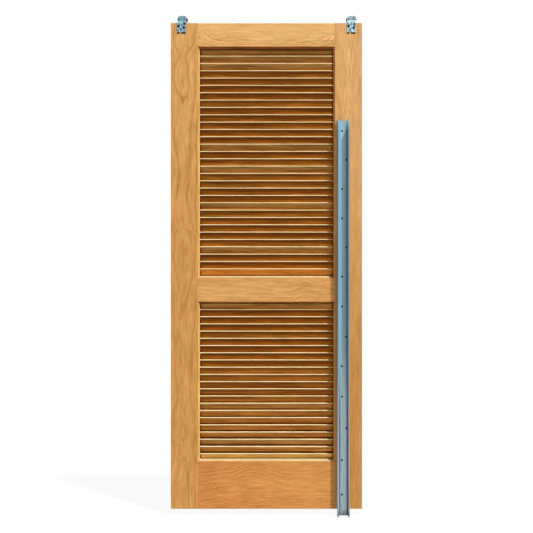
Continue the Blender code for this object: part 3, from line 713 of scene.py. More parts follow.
@dataclass(frozen=True)
class ZincFinish:
    """Bright zinc plating over pressed steel, cloudy and scuffed, with painted shade about its openings.
    """

    name: str = "zinc_plating"
    bright: Colour = (152, 186, 200)
    dull: Colour = (62, 94, 112)
    head: Colour = (104, 128, 138)
    # Colour of the painted shade about the openings.
    opening_shade: Colour = (20, 34, 44)
    rough: float = 0.34
    cloud_scale: Triple = (190.0, 190.0, 140.0)
    cloud_detail: float = 4.0
    clouds: Pairs = ((0.36, 0.0), (0.66, 1.0))
    scuff_scale: Triple = (2600.0, 900.0, 350.0)
    head_share: float = 0.65
    opening_shade_edge: Pairs = ((0.5, 0.92), (0.95, 0.0))
    cloud_rough: float = 0.20
    cloud_middle: float = 0.08
    scuff_rough: float = 0.10
    scuff_bump: float = 0.2
    scuff_depth: float = 0.00005

    def material(self, opening_shades: tuple[Triple, ...] = (), jog: float | None = None) -> bpy.types.Material:
        """The plating's material.

        Args:
            opening_shades: X, Z and radius of each opening with painted shade about it.
            jog: Level above which the plating is duller.

        Returns:
            The material.
        """
        material, graph = new_shader(self.name)
        x, y, z = graph.place()
        clouds = graph.noise(x, y, z, self.cloud_scale, self.cloud_detail)
        scuffs = graph.noise(x, y, z, self.scuff_scale)
        colour = graph.mix(graph.ramp(clouds, self.clouds), linear(self.bright), linear(self.dull))
        if jog is not None:
            above = graph.math("MULTIPLY", graph.math("GREATER_THAN", z, jog), self.head_share)
            colour = graph.mix(above, colour, linear(self.head))
        flat = graph.join(x, 0.0, z)
        # Painted shade about each opening.
        for across, level, radius in opening_shades:
            off = graph.vector("DISTANCE", flat, (across, 0.0, level)).outputs["Value"]
            share = graph.ramp(graph.math("DIVIDE", off, radius * 2), self.opening_shade_edge)
            colour = graph.mix(share, colour, linear(self.opening_shade))
        rough = graph.math("MULTIPLY_ADD", clouds, self.cloud_rough, self.rough - self.cloud_middle)
        bump = graph.add("ShaderNodeBump", {
            "Strength": self.scuff_bump, "Distance": self.scuff_depth, "Height": scuffs})
        close_shader(graph, {
            "Base Color": colour, "Metallic": 1.0, "Normal": bump.outputs[0],
            "Roughness": graph.math("MULTIPLY_ADD", scuffs, self.scuff_rough, rough)})
        return material


@dataclass(frozen=True)
class NylonFinish:
    """Grey moulded nylon with a rolled tread."""

    name: str = "grey_nylon"
    pale: Colour = (84, 90, 88)
    dark: Colour = (50, 56, 56)
    cloud_scale: Triple = (160.0, 900.0, 160.0)
    cloud_detail: float = 3.0
    roughness: Pair = (0.16, 0.38)
    soak_share: float = 0.05
    soak_depth: Triple = (0.002, 0.002, 0.002)

    def material(self) -> bpy.types.Material:
        """The wheels' material."""
        material, graph = new_shader(self.name)
        x, y, z = graph.place()
        cloud = graph.noise(x, y, z, self.cloud_scale, self.cloud_detail)
        close_shader(graph, {
            "Base Color": graph.mix(cloud, linear(self.pale), linear(self.dark)),
            "Roughness": graph.math("MULTIPLY_ADD", cloud, *self.roughness),
            "Subsurface Weight": self.soak_share, "Subsurface Radius": self.soak_depth})
        return material


@dataclass(frozen=True)
class GalvanisedFinish:
    """Galvanised strip: faint spangle and rolling marks, darker at its foot, with painted light and
    shade.

    The two shades give how light the strip is painted across its width, from its left edge, near its
    head and near its foot: the painted shadow of its right wall and lip on the web and painted shade in
    its corners. Its colour is paler towards the foot, a painted reflection, and it has painted shade in
    its holes and painted light at its head.
    """

    name: str = "galvanised_steel"
    # Paler towards the foot, a painted reflection.
    upper: Colour = (149, 187, 205)
    lower: Colour = (188, 210, 221)
    # Colour of the painted shade in the screw holes.
    painted_shade: Colour = (8, 10, 12)
    metal: float = 0.2
    spangle: float = 130.0
    # Painted light and shadow across the width: the right wall and lip's shadow on the web, shade in the
    # corners.
    upper_shade: Pairs = (
        (0.0, 0.42), (0.003, 0.62), (0.0065, 0.80), (0.009, 0.96), (0.014, 1.05), (0.018, 1.15),
        (0.023, 1.08), (0.030, 0.94), (0.036, 0.74), (0.041, 0.50), (0.044, 0.48), (0.0455, 0.50),
        (0.0508, 0.68))
    lower_shade: Pairs = (
        (0.0, 0.95), (0.004, 0.62), (0.0065, 0.42), (0.008, 0.18), (0.0115, 0.24), (0.0165, 0.80),
        (0.021, 1.1), (0.032, 1.15), (0.0385, 1.0), (0.0405, 0.76), (0.0420, 0.24), (0.0435, 0.20),
        (0.0455, 0.38), (0.0508, 0.56))
    change: Pair = (0.22, 0.50)
    # Painted light near the head, above where the lip's shadow begins.
    lit_head: float = 0.05
    foot: float = 0.03
    head_shade: float = 0.9
    foot_shade: Pairs = ((0.0, 0.45), (0.5, 0.7), (1.0, 1.0))
    roll_scale: Triple = (420.0, 420.0, 3.0)
    roll_detail: float = 3.0
    roll_shade: Pair = (0.5, 0.72)
    roll_bump: float = 0.15
    roll_depth: float = 0.0001
    bloom_scale: Triple = (55.0, 55.0, 6.0)
    bloom_detail: float = 4.0
    bloom_shade: float = 0.3
    bloom_rough: float = 0.14
    spangle_shade: float = 0.08
    spangle_rough: Pair = (0.10, 0.38)
    gloss: float = 0.3

    def material(self, low: Vector, high: Vector) -> bpy.types.Material:
        """The track's material.

        Args:
            low: Lowest corner of the track.
            high: Its highest corner.

        Returns:
            The material.
        """
        material, graph = new_shader(self.name)
        place = graph.add("ShaderNodeTexCoord").outputs["Object"]
        x, y, z = graph.split(place)
        cells = graph.add("ShaderNodeTexVoronoi", {"Vector": place, "Scale": self.spangle})
        spangle = graph.add("ShaderNodeSeparateColor", {0: cells.outputs["Color"]}).outputs[0]
        rolled = graph.noise(x, y, z, self.roll_scale, self.roll_detail)
        bloom = graph.noise(x, y, z, self.bloom_scale, self.bloom_detail)
        rise = graph.math("MULTIPLY_ADD", z, 1 / (high.z - low.z), -low.z / (high.z - low.z))
        start, end = self.change
        share = graph.ramp(rise, ((start, 0.0), (end, 1.0)))
        # Paler towards the foot: a painted reflection.
        colour = graph.mix(share, linear(self.lower), linear(self.upper))
        # Painted light and shadow across the web, near the head and near the foot.
        across = graph.math("SUBTRACT", x, low.x)
        shades = graph.profile(across, self.lower_shade), graph.profile(across, self.upper_shade)
        shade = graph.math("MULTIPLY_ADD", graph.math("SUBTRACT", shades[1], shades[0]), share, shades[0])
        # Lighter towards the head: painted light.
        head = graph.math("MULTIPLY_ADD", z, 1 / self.lit_head, 1 - high.z / self.lit_head)
        lighter = graph.math("SUBTRACT", self.head_shade, shade)
        shade = graph.math("MULTIPLY_ADD", lighter, graph.clamped(head), shade)
        foot = graph.math("MULTIPLY_ADD", z, 1 / self.foot, -low.z / self.foot)
        shade = graph.math("MULTIPLY", shade, graph.ramp(foot, self.foot_shade))
        shade = graph.math("MULTIPLY", shade, graph.math("MULTIPLY_ADD", rolled, *self.roll_shade))
        shade = graph.swayed(bloom, self.bloom_shade, shade)
        shade = graph.math("MULTIPLY_ADD", spangle, self.spangle_shade, shade)
        colour = graph.mix(1.0, colour, graph.join(shade, shade, shade), "MULTIPLY")
        # Painted shade in and about the screw holes.
        holes = graph.attribute(RIM_ATTRIBUTE)
        colour = graph.mix(holes, colour, linear(self.painted_shade))
        rough = graph.math("MULTIPLY_ADD", spangle, *self.spangle_rough)
        bump = graph.add("ShaderNodeBump", {
            "Strength": self.roll_bump, "Distance": self.roll_depth, "Height": rolled})
        close_shader(graph, {
            "Base Color": colour, "Normal": bump.outputs[0], "Specular IOR Level": self.gloss,
            "Metallic": graph.math("MULTIPLY_ADD", holes, -self.metal, self.metal),
            "Roughness": graph.math("MULTIPLY_ADD", bloom, self.bloom_rough, rough)})
        return material


def evaluated_mesh(thing: bpy.types.Object) -> bpy.types.Mesh:
    """Turn an object with its modifiers into a plain mesh.

    Args:
        thing: The object, which is removed.

    Returns:
        The mesh that its modifiers made.
    """
    bpy.context.view_layer.update()
    graph = bpy.context.evaluated_depsgraph_get()
    mesh = bpy.data.meshes.new_from_object(thing.evaluated_get(graph))
    mesh.name = thing.name
    bpy.data.objects.remove(thing, do_unlink=True)
    return mesh


def new_object(name: str, data: bpy.types.ID | None) -> bpy.types.Object:
    """An object of this data, linked to the scene."""
    thing = bpy.data.objects.new(name, data)
    bpy.context.scene.collection.objects.link(thing)
    return thing


def points_mesh(name: str, points: list, edges: list | None = None) -> bpy.types.Mesh:
    """A mesh of loose points, or of points joined by edges."""
    mesh = bpy.data.meshes.new(name)
    mesh.from_pydata([tuple(point) for point in points], edges or [], [])
    return mesh


@contextmanager
def edited(mesh: bpy.types.Mesh) -> Iterator[bmesh.types.BMesh]:
    """A mesh's shape, which is written back to the mesh in the end."""
    shape = bmesh.new()
    shape.from_mesh(mesh)
    yield shape
    shape.to_mesh(mesh)
    shape.free()


def cleaned(mesh: bpy.types.Mesh) -> bpy.types.Mesh:
    """Merge a closed mesh's doubles and turn its faces outwards."""
    with edited(mesh) as shape:
        bmesh.ops.remove_doubles(shape, verts=shape.verts, dist=WELD)
        bmesh.ops.recalc_face_normals(shape, faces=shape.faces)
    return mesh


def softened(mesh: bpy.types.Mesh, width: float, segments: int = 2) -> bpy.types.Mesh:
    """Round a mesh's sharp edges a little, so that they catch the light.

    Args:
        mesh: A closed mesh.
        width: How far the rounding reaches from each edge.
        segments: How many faces it has.

    Returns:
        A new mesh with rounded edges, smooth over them and flat between them.
    """
    thing = new_object(mesh.name, mesh)
    mesh.shade_smooth()
    bevel = thing.modifiers.new("rounding", "BEVEL")
    bevel.width = width
    bevel.segments = segments
    bevel.limit_method = "ANGLE"
    bevel.angle_limit = CREASE
    bevel.miter_outer = "MITER_ARC"
    flat = thing.modifiers.new("flat_faces", "WEIGHTED_NORMAL")
    flat.keep_sharp = True
    return evaluated_mesh(thing)


def turned(name: str, profile: Pairs, segments: int) -> bpy.types.Mesh:
    """Turn a profile about local Z.

    Args:
        name: Name of the mesh.
        profile: Radius and height of each point; a closed ring ends where it starts.
        segments: Faces round the axis.

    Returns:
        A closed mesh.
    """
    mesh = points_mesh(name, [(radius, 0, height) for radius, height in profile],
                       [(number, number + 1) for number in range(len(profile) - 1)])
    thing = new_object(name, mesh)
    screw = thing.modifiers.new("turn", "SCREW")
    screw.steps = screw.render_steps = segments
    screw.use_merge_vertices = True
    screw.merge_threshold = WELD
    return cleaned(evaluated_mesh(thing))


def dress(name: str, mesh: bpy.types.Mesh, material: bpy.types.Material, body: str, slot: str,
          *nodes: str) -> None:
    """Put a finished mesh in the scene as a piece that stands for CAD nodes.

    Args:
        name: Name of the piece.
        mesh: Its mesh, in place.
        material: Its only material.
        body: CAD body that it rides on.
        slot: Not used.
        *nodes: CAD nodes that it stands for.
    """
    mesh.materials.clear()
    mesh.materials.append(material)
    mesh.name = name
    piece = new_object(name, mesh)
    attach(piece, body)
    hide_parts(*nodes)
    log.info("%s: %d faces on %s, for %d nodes", name, len(mesh.polygons), body, len(nodes))


class GeometryTree(Graph):
    """A geometry node tree with named inputs, which ends in real faces of one material."""

    def __init__(self, name: str, sizes: dict[str, str]) -> None:
        """Start the tree.

        Args:
            name: Name of the tree.
            sizes: Name of each input, with the kind of its socket.
        """
        super().__init__(bpy.data.node_groups.new(name, "GeometryNodeTree"))
        face = self.tree.interface
        face.new_socket(name="Geometry", in_out="OUTPUT", socket_type="NodeSocketGeometry")
        face.new_socket(name="Geometry", in_out="INPUT", socket_type="NodeSocketGeometry")
        self.keys = {
            size: face.new_socket(name=size, in_out="INPUT", socket_type="NodeSocket" + kind).identifier
            for size, kind in {**sizes, "Finish": "Material"}.items()}
        self.given = self.add("NodeGroupInput").outputs

    def close(self, geometry: bpy.types.NodeSocket) -> None:
        """End the tree: instances made real, smooth faces and the finish."""
        real = self.add("GeometryNodeRealizeInstances", {0: geometry}).outputs[0]
        smooth = self.add("GeometryNodeSetShadeSmooth", {0: real}).outputs[0]
        done = self.add("GeometryNodeSetMaterial", {"Geometry": smooth, "Material": self.given["Finish"]})
        self.add("NodeGroupOutput", {0: done.outputs[0]})

    def mesh(self, name: str, base: bpy.types.Mesh, values: dict) -> bpy.types.Mesh:
        """Run the tree on a mesh.

        Args:
            name: Name of the result.
            base: The mesh that the tree is given.
            values: A value for each named input.

        Returns:
            The plain mesh that it makes.
        """
        thing = new_object(name, base)
        modifier = thing.modifiers.new(name, "NODES")
        modifier.node_group = self.tree
        for size, value in values.items():
            modifier[self.keys[size]] = value
        return evaluated_mesh(thing)


def trimmed(mesh: bpy.types.Mesh, low: float, high: float) -> bpy.types.Mesh:
    """Saw closed shapes off level below and above, and close the cuts.

    Args:
        mesh: The shapes.
        low: Level of the lower cut.
        high: Level of the upper cut.

    Returns:
        The same mesh.
    """
    with edited(mesh) as shape:
        for level, up in ((low, -1), (high, 1)):
            cut = bmesh.ops.bisect_plane(
                shape, geom=[*shape.verts, *shape.edges, *shape.faces], dist=WELD,
                plane_co=(0, 0, level), plane_no=(0, 0, up), clear_outer=True)
            rim = [edge for edge in cut["geom_cut"] if isinstance(edge, bmesh.types.BMEdge)]
            bmesh.ops.holes_fill(shape, edges=[edge for edge in rim if edge.is_boundary], sides=0)
        bmesh.ops.recalc_face_normals(shape, faces=shape.faces)
    return mesh


@dataclass
class Member:
    """A stile or rail of the frame: the CAD shape with its edges eased by sanding."""

    node: str
    finish: PineFinish
    sanding: float = 0.0007

    def build(self, marks: tuple[ShadePatch, ...] = ()) -> None:
        """Copy the CAD node, ease its edges and give it its own board's figure.

        Args:
            marks: Patches of painted shade on its face.
        """
        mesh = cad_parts[self.node].data.copy()
        with edited(mesh) as shape:
            bmesh.ops.remove_doubles(shape, verts=shape.verts, dist=WELD)
            bmesh.ops.dissolve_limit(
                shape, angle_limit=math.radians(1.0), verts=shape.verts, edges=shape.edges)
        material = self.finish.material(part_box(self.node)[0].y, marks)
        dress(f"{self.node}_board", softened(mesh, self.sanding), material, "door", "pine_frame",
              self.node)


def slat_row_tree() -> GeometryTree:
    """The tree that lays out one panel's slats and the spacers between their ends.

    Returns:
        The tree, with its sizes as inputs.
    """
    tree = GeometryTree("slat_row", {
        "Count": "Int", "Pitch": "Float", "First": "Vector", "Length": "Float", "Width": "Float",
        "Thickness": "Float", "Lean": "Float", "Spacer": "Vector", "Spacer Reach": "Float",
        "Waver": "Float", "Seed": "Int"})
    given = tree.given
    half = tree.math("MULTIPLY", given["Length"], 0.5)
    path = tree.add("GeometryNodeCurvePrimitiveLine", {
        "Start": tree.join(tree.math("MULTIPLY", half, -1.0), 0.0, 0.0),
        "End": tree.join(half, 0.0, 0.0)})
    path = tree.add("GeometryNodeResampleCurve", {"Curve": path.outputs[0], "Count": SLAT_STEPS})
    section = tree.add("GeometryNodeCurvePrimitiveQuadrilateral", {
        "Width": given["Thickness"], "Height": given["Width"]})
    section = tree.add("GeometryNodeFilletCurve", {
        "Curve": section.outputs[0], "Count": FILLET_STEPS,
        "Radius": tree.math("MULTIPLY", given["Thickness"], SLAT_ROUNDING)}, mode="POLY")
    slat = tree.add("GeometryNodeCurveToMesh", {
        "Curve": path.outputs[0], "Profile Curve": section.outputs[0], "Fill Caps": True})
    slat = tree.add("GeometryNodeTransform", {
        "Geometry": slat.outputs[0], "Rotation": tree.join(given["Lean"], 0.0, 0.0)})
    row = tree.add("GeometryNodeMeshLine", {
        "Count": given["Count"], "Start Location": given["First"],
        "Offset": tree.join(0.0, 0.0, given["Pitch"])}, mode="OFFSET")
    turn = tree.add("FunctionNodeRandomValue", {
        2: -SLAT_TURN, 3: SLAT_TURN, "Seed": given["Seed"]}, data_type="FLOAT").outputs[1]
    slats = tree.add("GeometryNodeInstanceOnPoints", {
        "Points": row.outputs[0], "Instance": slat.outputs[0], "Rotation": tree.join(turn, 0.0, 0.0)})

    block = tree.add("GeometryNodeMeshCube", {"Size": given["Spacer"]})
    height = tree.add("GeometryNodeInputPosition").outputs[0]
    slope = tree.math("DIVIDE", 1.0, tree.math("TANGENT", given["Lean"]))
    drop = tree.math("MULTIPLY", tree.split(height)[1], tree.math("MULTIPLY", slope, -1.0))
    block = tree.add("GeometryNodeSetPosition", {
        "Geometry": block.outputs[0], "Offset": tree.join(0.0, 0.0, drop)})
    gaps = tree.math("ADD", given["Count"], 1.0)
    below = tree.math("MULTIPLY", given["Pitch"], -0.5)
    seed = tree.add("FunctionNodeRandomValue", {2: 0.0, 3: 1.0, "Seed": given["Seed"]}, data_type="FLOAT")
    number = tree.add("GeometryNodeInputIndex").outputs[0]
    last = tree.math("COMPARE", number, tree.math("SUBTRACT", given["Count"], 1.0), 0.5)
    marks = tree.math("MULTIPLY_ADD", tree.math("LESS_THAN", number, 0.5), 2.0, last)
    slats = tree.add("GeometryNodeStoreNamedAttribute", {
        "Geometry": slats.outputs[0], "Name": SEED_ATTRIBUTE,
        "Value": tree.math("ADD", seed.outputs[1], marks)}, data_type="FLOAT", domain="INSTANCE")
    blocks = []
    for side in (-1.0, 1.0):
        reach = tree.math("MULTIPLY", given["Spacer Reach"], side)
        start = tree.vector("ADD", given["First"], tree.join(reach, 0.0, below))
        column = tree.add("GeometryNodeMeshLine", {
            "Count": gaps, "Start Location": start.outputs[0],
            "Offset": tree.join(0.0, 0.0, given["Pitch"])}, mode="OFFSET")
        blocks.append(tree.add("GeometryNodeInstanceOnPoints", {
            "Points": column.outputs[0], "Instance": block.outputs[0]}).outputs[0])
    everything = tree.add("GeometryNodeJoinGeometry")
    for geometry in (slats.outputs[0], *blocks):
        tree.tree.links.new(geometry, everything.inputs[0])
    real = tree.add("GeometryNodeRealizeInstances", {0: everything.outputs[0]}).outputs[0]
    spot = tree.split(tree.add("GeometryNodeInputPosition").outputs[0])
    own = tree.add("GeometryNodeInputNamedAttribute", {"Name": SEED_ATTRIBUTE}, data_type="FLOAT")
    wave = tree.noise(spot[0], own.outputs[0], 0.0, SLAT_BOW_SCALE)
    shift = tree.math("MULTIPLY", tree.math("SUBTRACT", wave, 0.5), given["Waver"])
    bowed = tree.add("GeometryNodeSetPosition", {"Geometry": real, "Offset": tree.join(0.0, 0.0, shift)})
    tree.close(bowed.outputs[0])
    return tree


@dataclass
class LouvrePanel:
    """One panel of fixed slats between two rails, with the spacers that hold their ends."""

    name: str
    rail_below: str
    rail_above: str
    sets: int
    seed: int
    thickness: float = 0.0064
    tilt: float = math.radians(65.0)
    groove_lip: float = 0.0005
    clearance: float = 0.0003
    waver: float = 0.0005
    slats_below: float = 2.5

    def node(self, number: int) -> str:
        """Name of the CAD node that holds one set of slats."""
        return f"{self.name}_louvres_{number:02d}"

    def build(self, tree: GeometryTree, material: bpy.types.Material) -> None:
        """Lay out the slats where the CAD has them, saw them to the opening and dress them.

        Args:
            tree: The slat row's tree.
            material: The slats' material.
        """
        low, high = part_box(self.node(2))
        middle = (low + high) / 2
        next_low, next_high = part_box(self.node(3))
        pitch = ((next_low + next_high) / 2 - middle).z / 2
        sill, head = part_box(self.rail_below)[1].z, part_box(self.rail_above)[0].z
        first = middle.z - pitch * self.slats_below
        count = int((head - first) / pitch) + 1
        run = high.y - low.y - self.thickness - 2 * self.groove_lip
        housing = high.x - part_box(self.rail_below)[1].x + self.sticking()
        spacer_height = pitch - self.thickness / math.cos(self.tilt) - self.clearance
        mesh = tree.mesh(f"{self.name}_slats", points_mesh("none", []), {
            "Count": count, "Pitch": pitch, "First": (0.0, middle.y, first),
            "Length": high.x - low.x, "Width": run / math.cos(self.tilt) + self.thickness,
            "Thickness": self.thickness, "Lean": math.pi / 2 - self.tilt,
            "Spacer": (housing, high.y - low.y, spacer_height), "Spacer Reach": high.x - housing / 2,
            "Waver": self.waver, "Seed": self.seed, "Finish": material})
        mesh = trimmed(mesh, sill + self.clearance, head - WELD)
        nodes = [self.node(number) for number in range(1, self.sets + 1)]
        dress(f"{self.name}_slats", softened(mesh, self.clearance), material, "door", "pine_louvre",
              *nodes)

    @staticmethod
    def sticking() -> float:
        """How far the rails' coped ends reach past the stiles' inner edges."""
        inner = -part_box("left_stile")[1].x
        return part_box("bottom_rail")[1].x - inner


def fastener_tree() -> GeometryTree:
    """The tree that sets one fastener on each of its points, each turned its own way.

    Returns:
        The tree, with the fastener and its finish as inputs.
    """
    tree = GeometryTree("fasteners", {"Fastener": "Object", "Spread": "Float", "Seed": "Int"})
    shape = tree.add("GeometryNodeObjectInfo", {"Object": tree.given["Fastener"]}).outputs["Geometry"]
    most = tree.given["Spread"]
    turn = tree.add("FunctionNodeRandomValue", {
        2: tree.math("MULTIPLY", most, -1.0), 3: most, "Seed": tree.given["Seed"]},
        data_type="FLOAT").outputs[1]
    placed = tree.add("GeometryNodeInstanceOnPoints", {
        "Points": tree.given["Geometry"], "Instance": shape, "Rotation": tree.join(0.0, turn, 0.0)})
    tree.close(placed.outputs[0])
    return tree


@dataclass
class Hanger:
    """A bent plate that is screwed to the door, with two wheels on rivets behind its head.

    The open slot has its place across, width and top, a round hole its place across, level and
    diameter, and a bead its place across, level, length and turn, all from the hanger's origin.
    """

    side: Side
    width: float = 0.0375
    thickness: float = 0.002
    corner: float = 0.002
    jog_start: float = 0.005
    jog_depth: float = 0.006
    bend: float = 0.003
    head_shift: float = 0.002
    head_corner: float = 0.010
    travel: Pair = (-0.004, 0.006)
    slot_width: float = 0.0046
    open_slot: Triple = (-0.00555, 0.005, -0.023)
    round_holes: tuple[Triple, ...] = ((0.01226, -0.005, 0.005), (0.0095, 0.0251, 0.004))
    bead_width: float = 0.004
    bead_proud: float = 0.0008
    beads: tuple[tuple[float, float, float, float], ...] = (
        (0.00225, -0.032, 0.010, math.radians(-45.0)), (0.002, 0.0205, 0.013, 0.0))
    facet: float = 0.0006
    # Reach of the painted shade and painted foot shadow on the door under the plate.
    shade_spread: float = 0.0015
    foot_shadow: float = 0.0085
    open_slot_shade: float = 0.00575
    easing: float = 0.00025
    # Reach of the painted shade about the plate's openings, as shares of their size.
    slot_shade_share: float = 0.8
    hole_shade_share: float = 0.65

    def __post_init__(self) -> None:
        """Find the hanger's place: on the door's face, at its top edge."""
        self.name = f"{self.side.value}_hanger"
        low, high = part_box(f"{self.name}_plate")
        face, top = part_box("left_stile")[0].y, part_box("left_stile")[1].z
        self.origin = Vector((low.x + self.width / 2, face, top))
        self.foot, self.top = low.z - top, high.z - top
        self.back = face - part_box(f"{self.name}_plate")[0].y - self.bead_proud - self.thickness / 2

    def spot(self, node: str) -> Vector:
        """Middle of a CAD node, from the hanger's origin."""
        low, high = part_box(f"{self.name}_{node}")
        return (low + high) / 2 - self.origin

    def slot_middles(self) -> list[Pair]:
        """Place across and level of the middle of each slot that a screw runs in."""
        low, high = self.travel
        spots = [self.spot(f"screw_{number}") for number in (1, 2)]
        return [(spot.x, spot.z - (low + high) / 2) for spot in spots]

    def outline(self) -> list[Pair]:
        """The plate's outer edge in front view: square below, its head with round shoulders."""
        half, quarter = self.width / 2, math.pi / 2
        foot, shoulder = self.foot + self.corner, self.top - self.head_corner
        points = arc((self.corner - half, foot), self.corner, 2 * quarter, quarter)
        points += arc((half - self.corner, foot), self.corner, -quarter, quarter)
        points += [(half, self.jog_start), (half + self.head_shift, self.jog_start + self.jog_depth)]
        inset = half - self.head_corner
        points += arc((self.head_shift + inset, shoulder), self.head_corner, 0, quarter)
        points += arc((self.head_shift - inset, shoulder), self.head_corner, quarter, quarter)
        points += [(self.head_shift - half, self.jog_start + self.jog_depth), (-half, self.jog_start)]
        return points

    def openings(self) -> list[list[Pair]]:
        """The edges of the slots and holes in front view."""
        low, high = self.travel
        edges = []
        for number, middle in enumerate(self.slot_middles(), 1):
            edges.append(slot(middle, self.slot_width, high - low + self.slot_width))
            rivet = self.spot(f"rivet_{number}")
            edges.append(slot((rivet.x, rivet.z), self.slot_width, self.slot_width))
        edges += [slot((across, level), size, size) for across, level, size in self.round_holes]
        return edges

    def open_slot_outline(self) -> list[Pair]:
        """The slot that is open at the plate's foot, as points that the outer edge runs through."""
        across, width, top = self.open_slot
        points = arc((across, top - width / 2), width / 2, 0, math.pi)
        return [(across + width / 2, self.foot), *points, (across - width / 2, self.foot)]

    def blank(self) -> bpy.types.Mesh:
        """The flat plate before it is bent: its outline filled, with its openings left out."""
        outer, corner = self.outline(), ARC_STEPS + 1
        outer = outer[:corner] + self.open_slot_outline()[::-1] + outer[corner:]
        curve = bpy.data.curves.new("blank", "CURVE")
        curve.dimensions = "2D"
        curve.fill_mode = "FRONT"
        for edge in (outer, *self.openings()):
            spline = curve.splines.new("POLY")
            spline.points.add(len(edge) - 1)
            for point, (across, level) in zip(spline.points, edge):
                point.co = (across, level, 0, 1)
            spline.use_cyclic_u = True
        mesh = evaluated_mesh(new_object("blank", curve))
        bpy.data.curves.remove(curve)
        return mesh

    def bend_at(self, level: float) -> float:
        """How far back the plate's middle lies at a level, from the part that is screwed on."""
        setback = self.bend * math.tan(EIGHTH_TURN / 2)
        arc_rise = self.bend * math.sin(EIGHTH_TURN)
        low = self.jog_start - setback
        high = self.jog_start + self.jog_depth + setback
        if level <= low:
            return 0.0
        if level <= low + arc_rise:
            return self.bend - math.sqrt(self.bend ** 2 - (level - low) ** 2)
        if level < high - arc_rise:
            return level - self.jog_start
        if level < high:
            return self.jog_depth - self.bend + math.sqrt(self.bend ** 2 - (high - level) ** 2)
        return self.jog_depth

    def bead_at(self, across: float, level: float) -> float:
        """How far a stamped bead stands proud at a place."""
        proud = 0.0
        for centre_x, centre_z, length, turn in self.beads:
            axis = Vector((-math.sin(turn), math.cos(turn)))
            away = Vector((across - centre_x, level - centre_z))
            reach = (length - self.bead_width) / 2
            away -= axis * max(-reach, min(reach, away.dot(axis)))
            share = min(1.0, away.length / (self.bead_width / 2))
            proud = max(proud, self.bead_proud * (1 - share ** 2) ** 2 * (1 + 2 * share ** 2))
        return proud

    def plate_mesh(self) -> bpy.types.Mesh:
        """The plate: cut finely where it bends or bulges, then bent, stamped and given its thickness."""
        mesh = self.blank()
        margin = 2 * self.facet
        jog = (Vector((-self.width, self.jog_start - 2 * self.bend, 0)),
               Vector((self.width, self.jog_start + self.jog_depth + 2 * self.bend, 0)))
        with edited(mesh) as shape:
            bmesh.ops.remove_doubles(shape, verts=shape.verts, dist=WELD)
            cut_grid(shape, *jog, self.facet, (1,))
            for centre_x, centre_z, length, _ in self.beads:
                reach = Vector((length / 2 + margin, length / 2 + margin, 0))
                centre = Vector((centre_x, centre_z, 0))
                cut_grid(shape, centre - reach, centre + reach, self.facet, (0, 1))
            for vert in shape.verts:
                across, level = vert.co.x, vert.co.y
                depth = self.bend_at(level) - self.bead_at(across, level) - self.back
                vert.co = self.origin + Vector((across, depth, level))
            bmesh.ops.recalc_face_normals(shape, faces=shape.faces)
            if sum(face.normal.y * face.calc_area() for face in shape.faces) > 0:
                bmesh.ops.reverse_faces(shape, faces=shape.faces)
        sheet = new_object(f"{self.name}_sheet", mesh)
        wall = sheet.modifiers.new("wall", "SOLIDIFY")
        wall.thickness = self.thickness
        wall.offset = 0.0
        wall.use_even_offset = True
        return softened(evaluated_mesh(sheet), self.easing)

    def opening_shades(self) -> tuple[Triple, ...]:
        """X, Z and radius of the slots and holes, for the painted shade about them."""
        places = [(*middle, self.slot_width * self.slot_shade_share) for middle in self.slot_middles()]
        places += [(across, level, size * self.hole_shade_share) for across, level, size in self.round_holes]
        return tuple((self.origin.x + across, self.origin.z + level, radius)
                     for across, level, radius in places)

    def marks(self) -> tuple[ShadePatch, ...]:
        """Painted shade on the door under the plate, behind its slots and holes, and painted shadow along
        its feet.
        """
        low, high = self.travel
        spread = self.shade_spread
        rise = (high - low + self.slot_width) / 2 + spread
        marks = [(*middle, self.slot_width / 2 + spread, rise) for middle in self.slot_middles()]
        across, level, size = self.round_holes[0]
        marks.append((across, level, size / 2 + spread, size / 2 + spread))
        middle, width, top = self.open_slot
        marks.append((middle, top, width / 2 + spread, self.open_slot_shade))
        edges = ((-self.width / 2, middle - width / 2), (middle + width / 2, self.width / 2))
        marks += [((start + end) / 2, self.foot, (end - start) / 2 + spread / 2, self.foot_shadow)
                  for start, end in edges]
        return tuple(ShadePatch(self.origin.x + across, self.origin.z + level, reach, rise)
                     for across, level, reach, rise in marks)

    def build(self, nylon: bpy.types.Material, rivet_plating: bpy.types.Material,
              fasteners: GeometryTree) -> None:
        """Make the plate, the rivets and the wheels.

        Args:
            nylon: Material of the wheels.
            rivet_plating: Material of the rivets.
            fasteners: The tree that sets rivets on their places.
        """
        jog = self.origin.z + self.jog_start + self.jog_depth / 2
        # The plate's finish gets painted shade about its slots and holes.
        plating = PLATINGS[self.side].material(self.opening_shades(), jog)
        dress(f"{self.name}_pressing", self.plate_mesh(), plating, self.name, "zinc_plate",
              f"{self.name}_plate")
        spots = [self.origin + self.spot(f"rivet_{number}") for number in (1, 2)]
        rivet = new_object("rivet", Rivet.between(f"{self.name}_rivet_1").mesh())
        mesh = fasteners.mesh(f"{self.name}_rivets", points_mesh("spots", spots), {
            "Fastener": rivet, "Spread": 0.0, "Seed": 1, "Finish": rivet_plating})
        bpy.data.objects.remove(rivet)
        dress(f"{self.name}_rivets", softened(mesh, Rivet.easing), rivet_plating, self.name,
              "zinc_plate", f"{self.name}_rivet_1", f"{self.name}_rivet_2")
        for number in (1, 2):
            node = f"{self.name}_wheel_{number}"
            body = f"{self.side.value}_wheel_{number}"
            dress(f"{node}_moulding", Wheel.of(node).mesh(), nylon, body, "wheel_nylon", node)


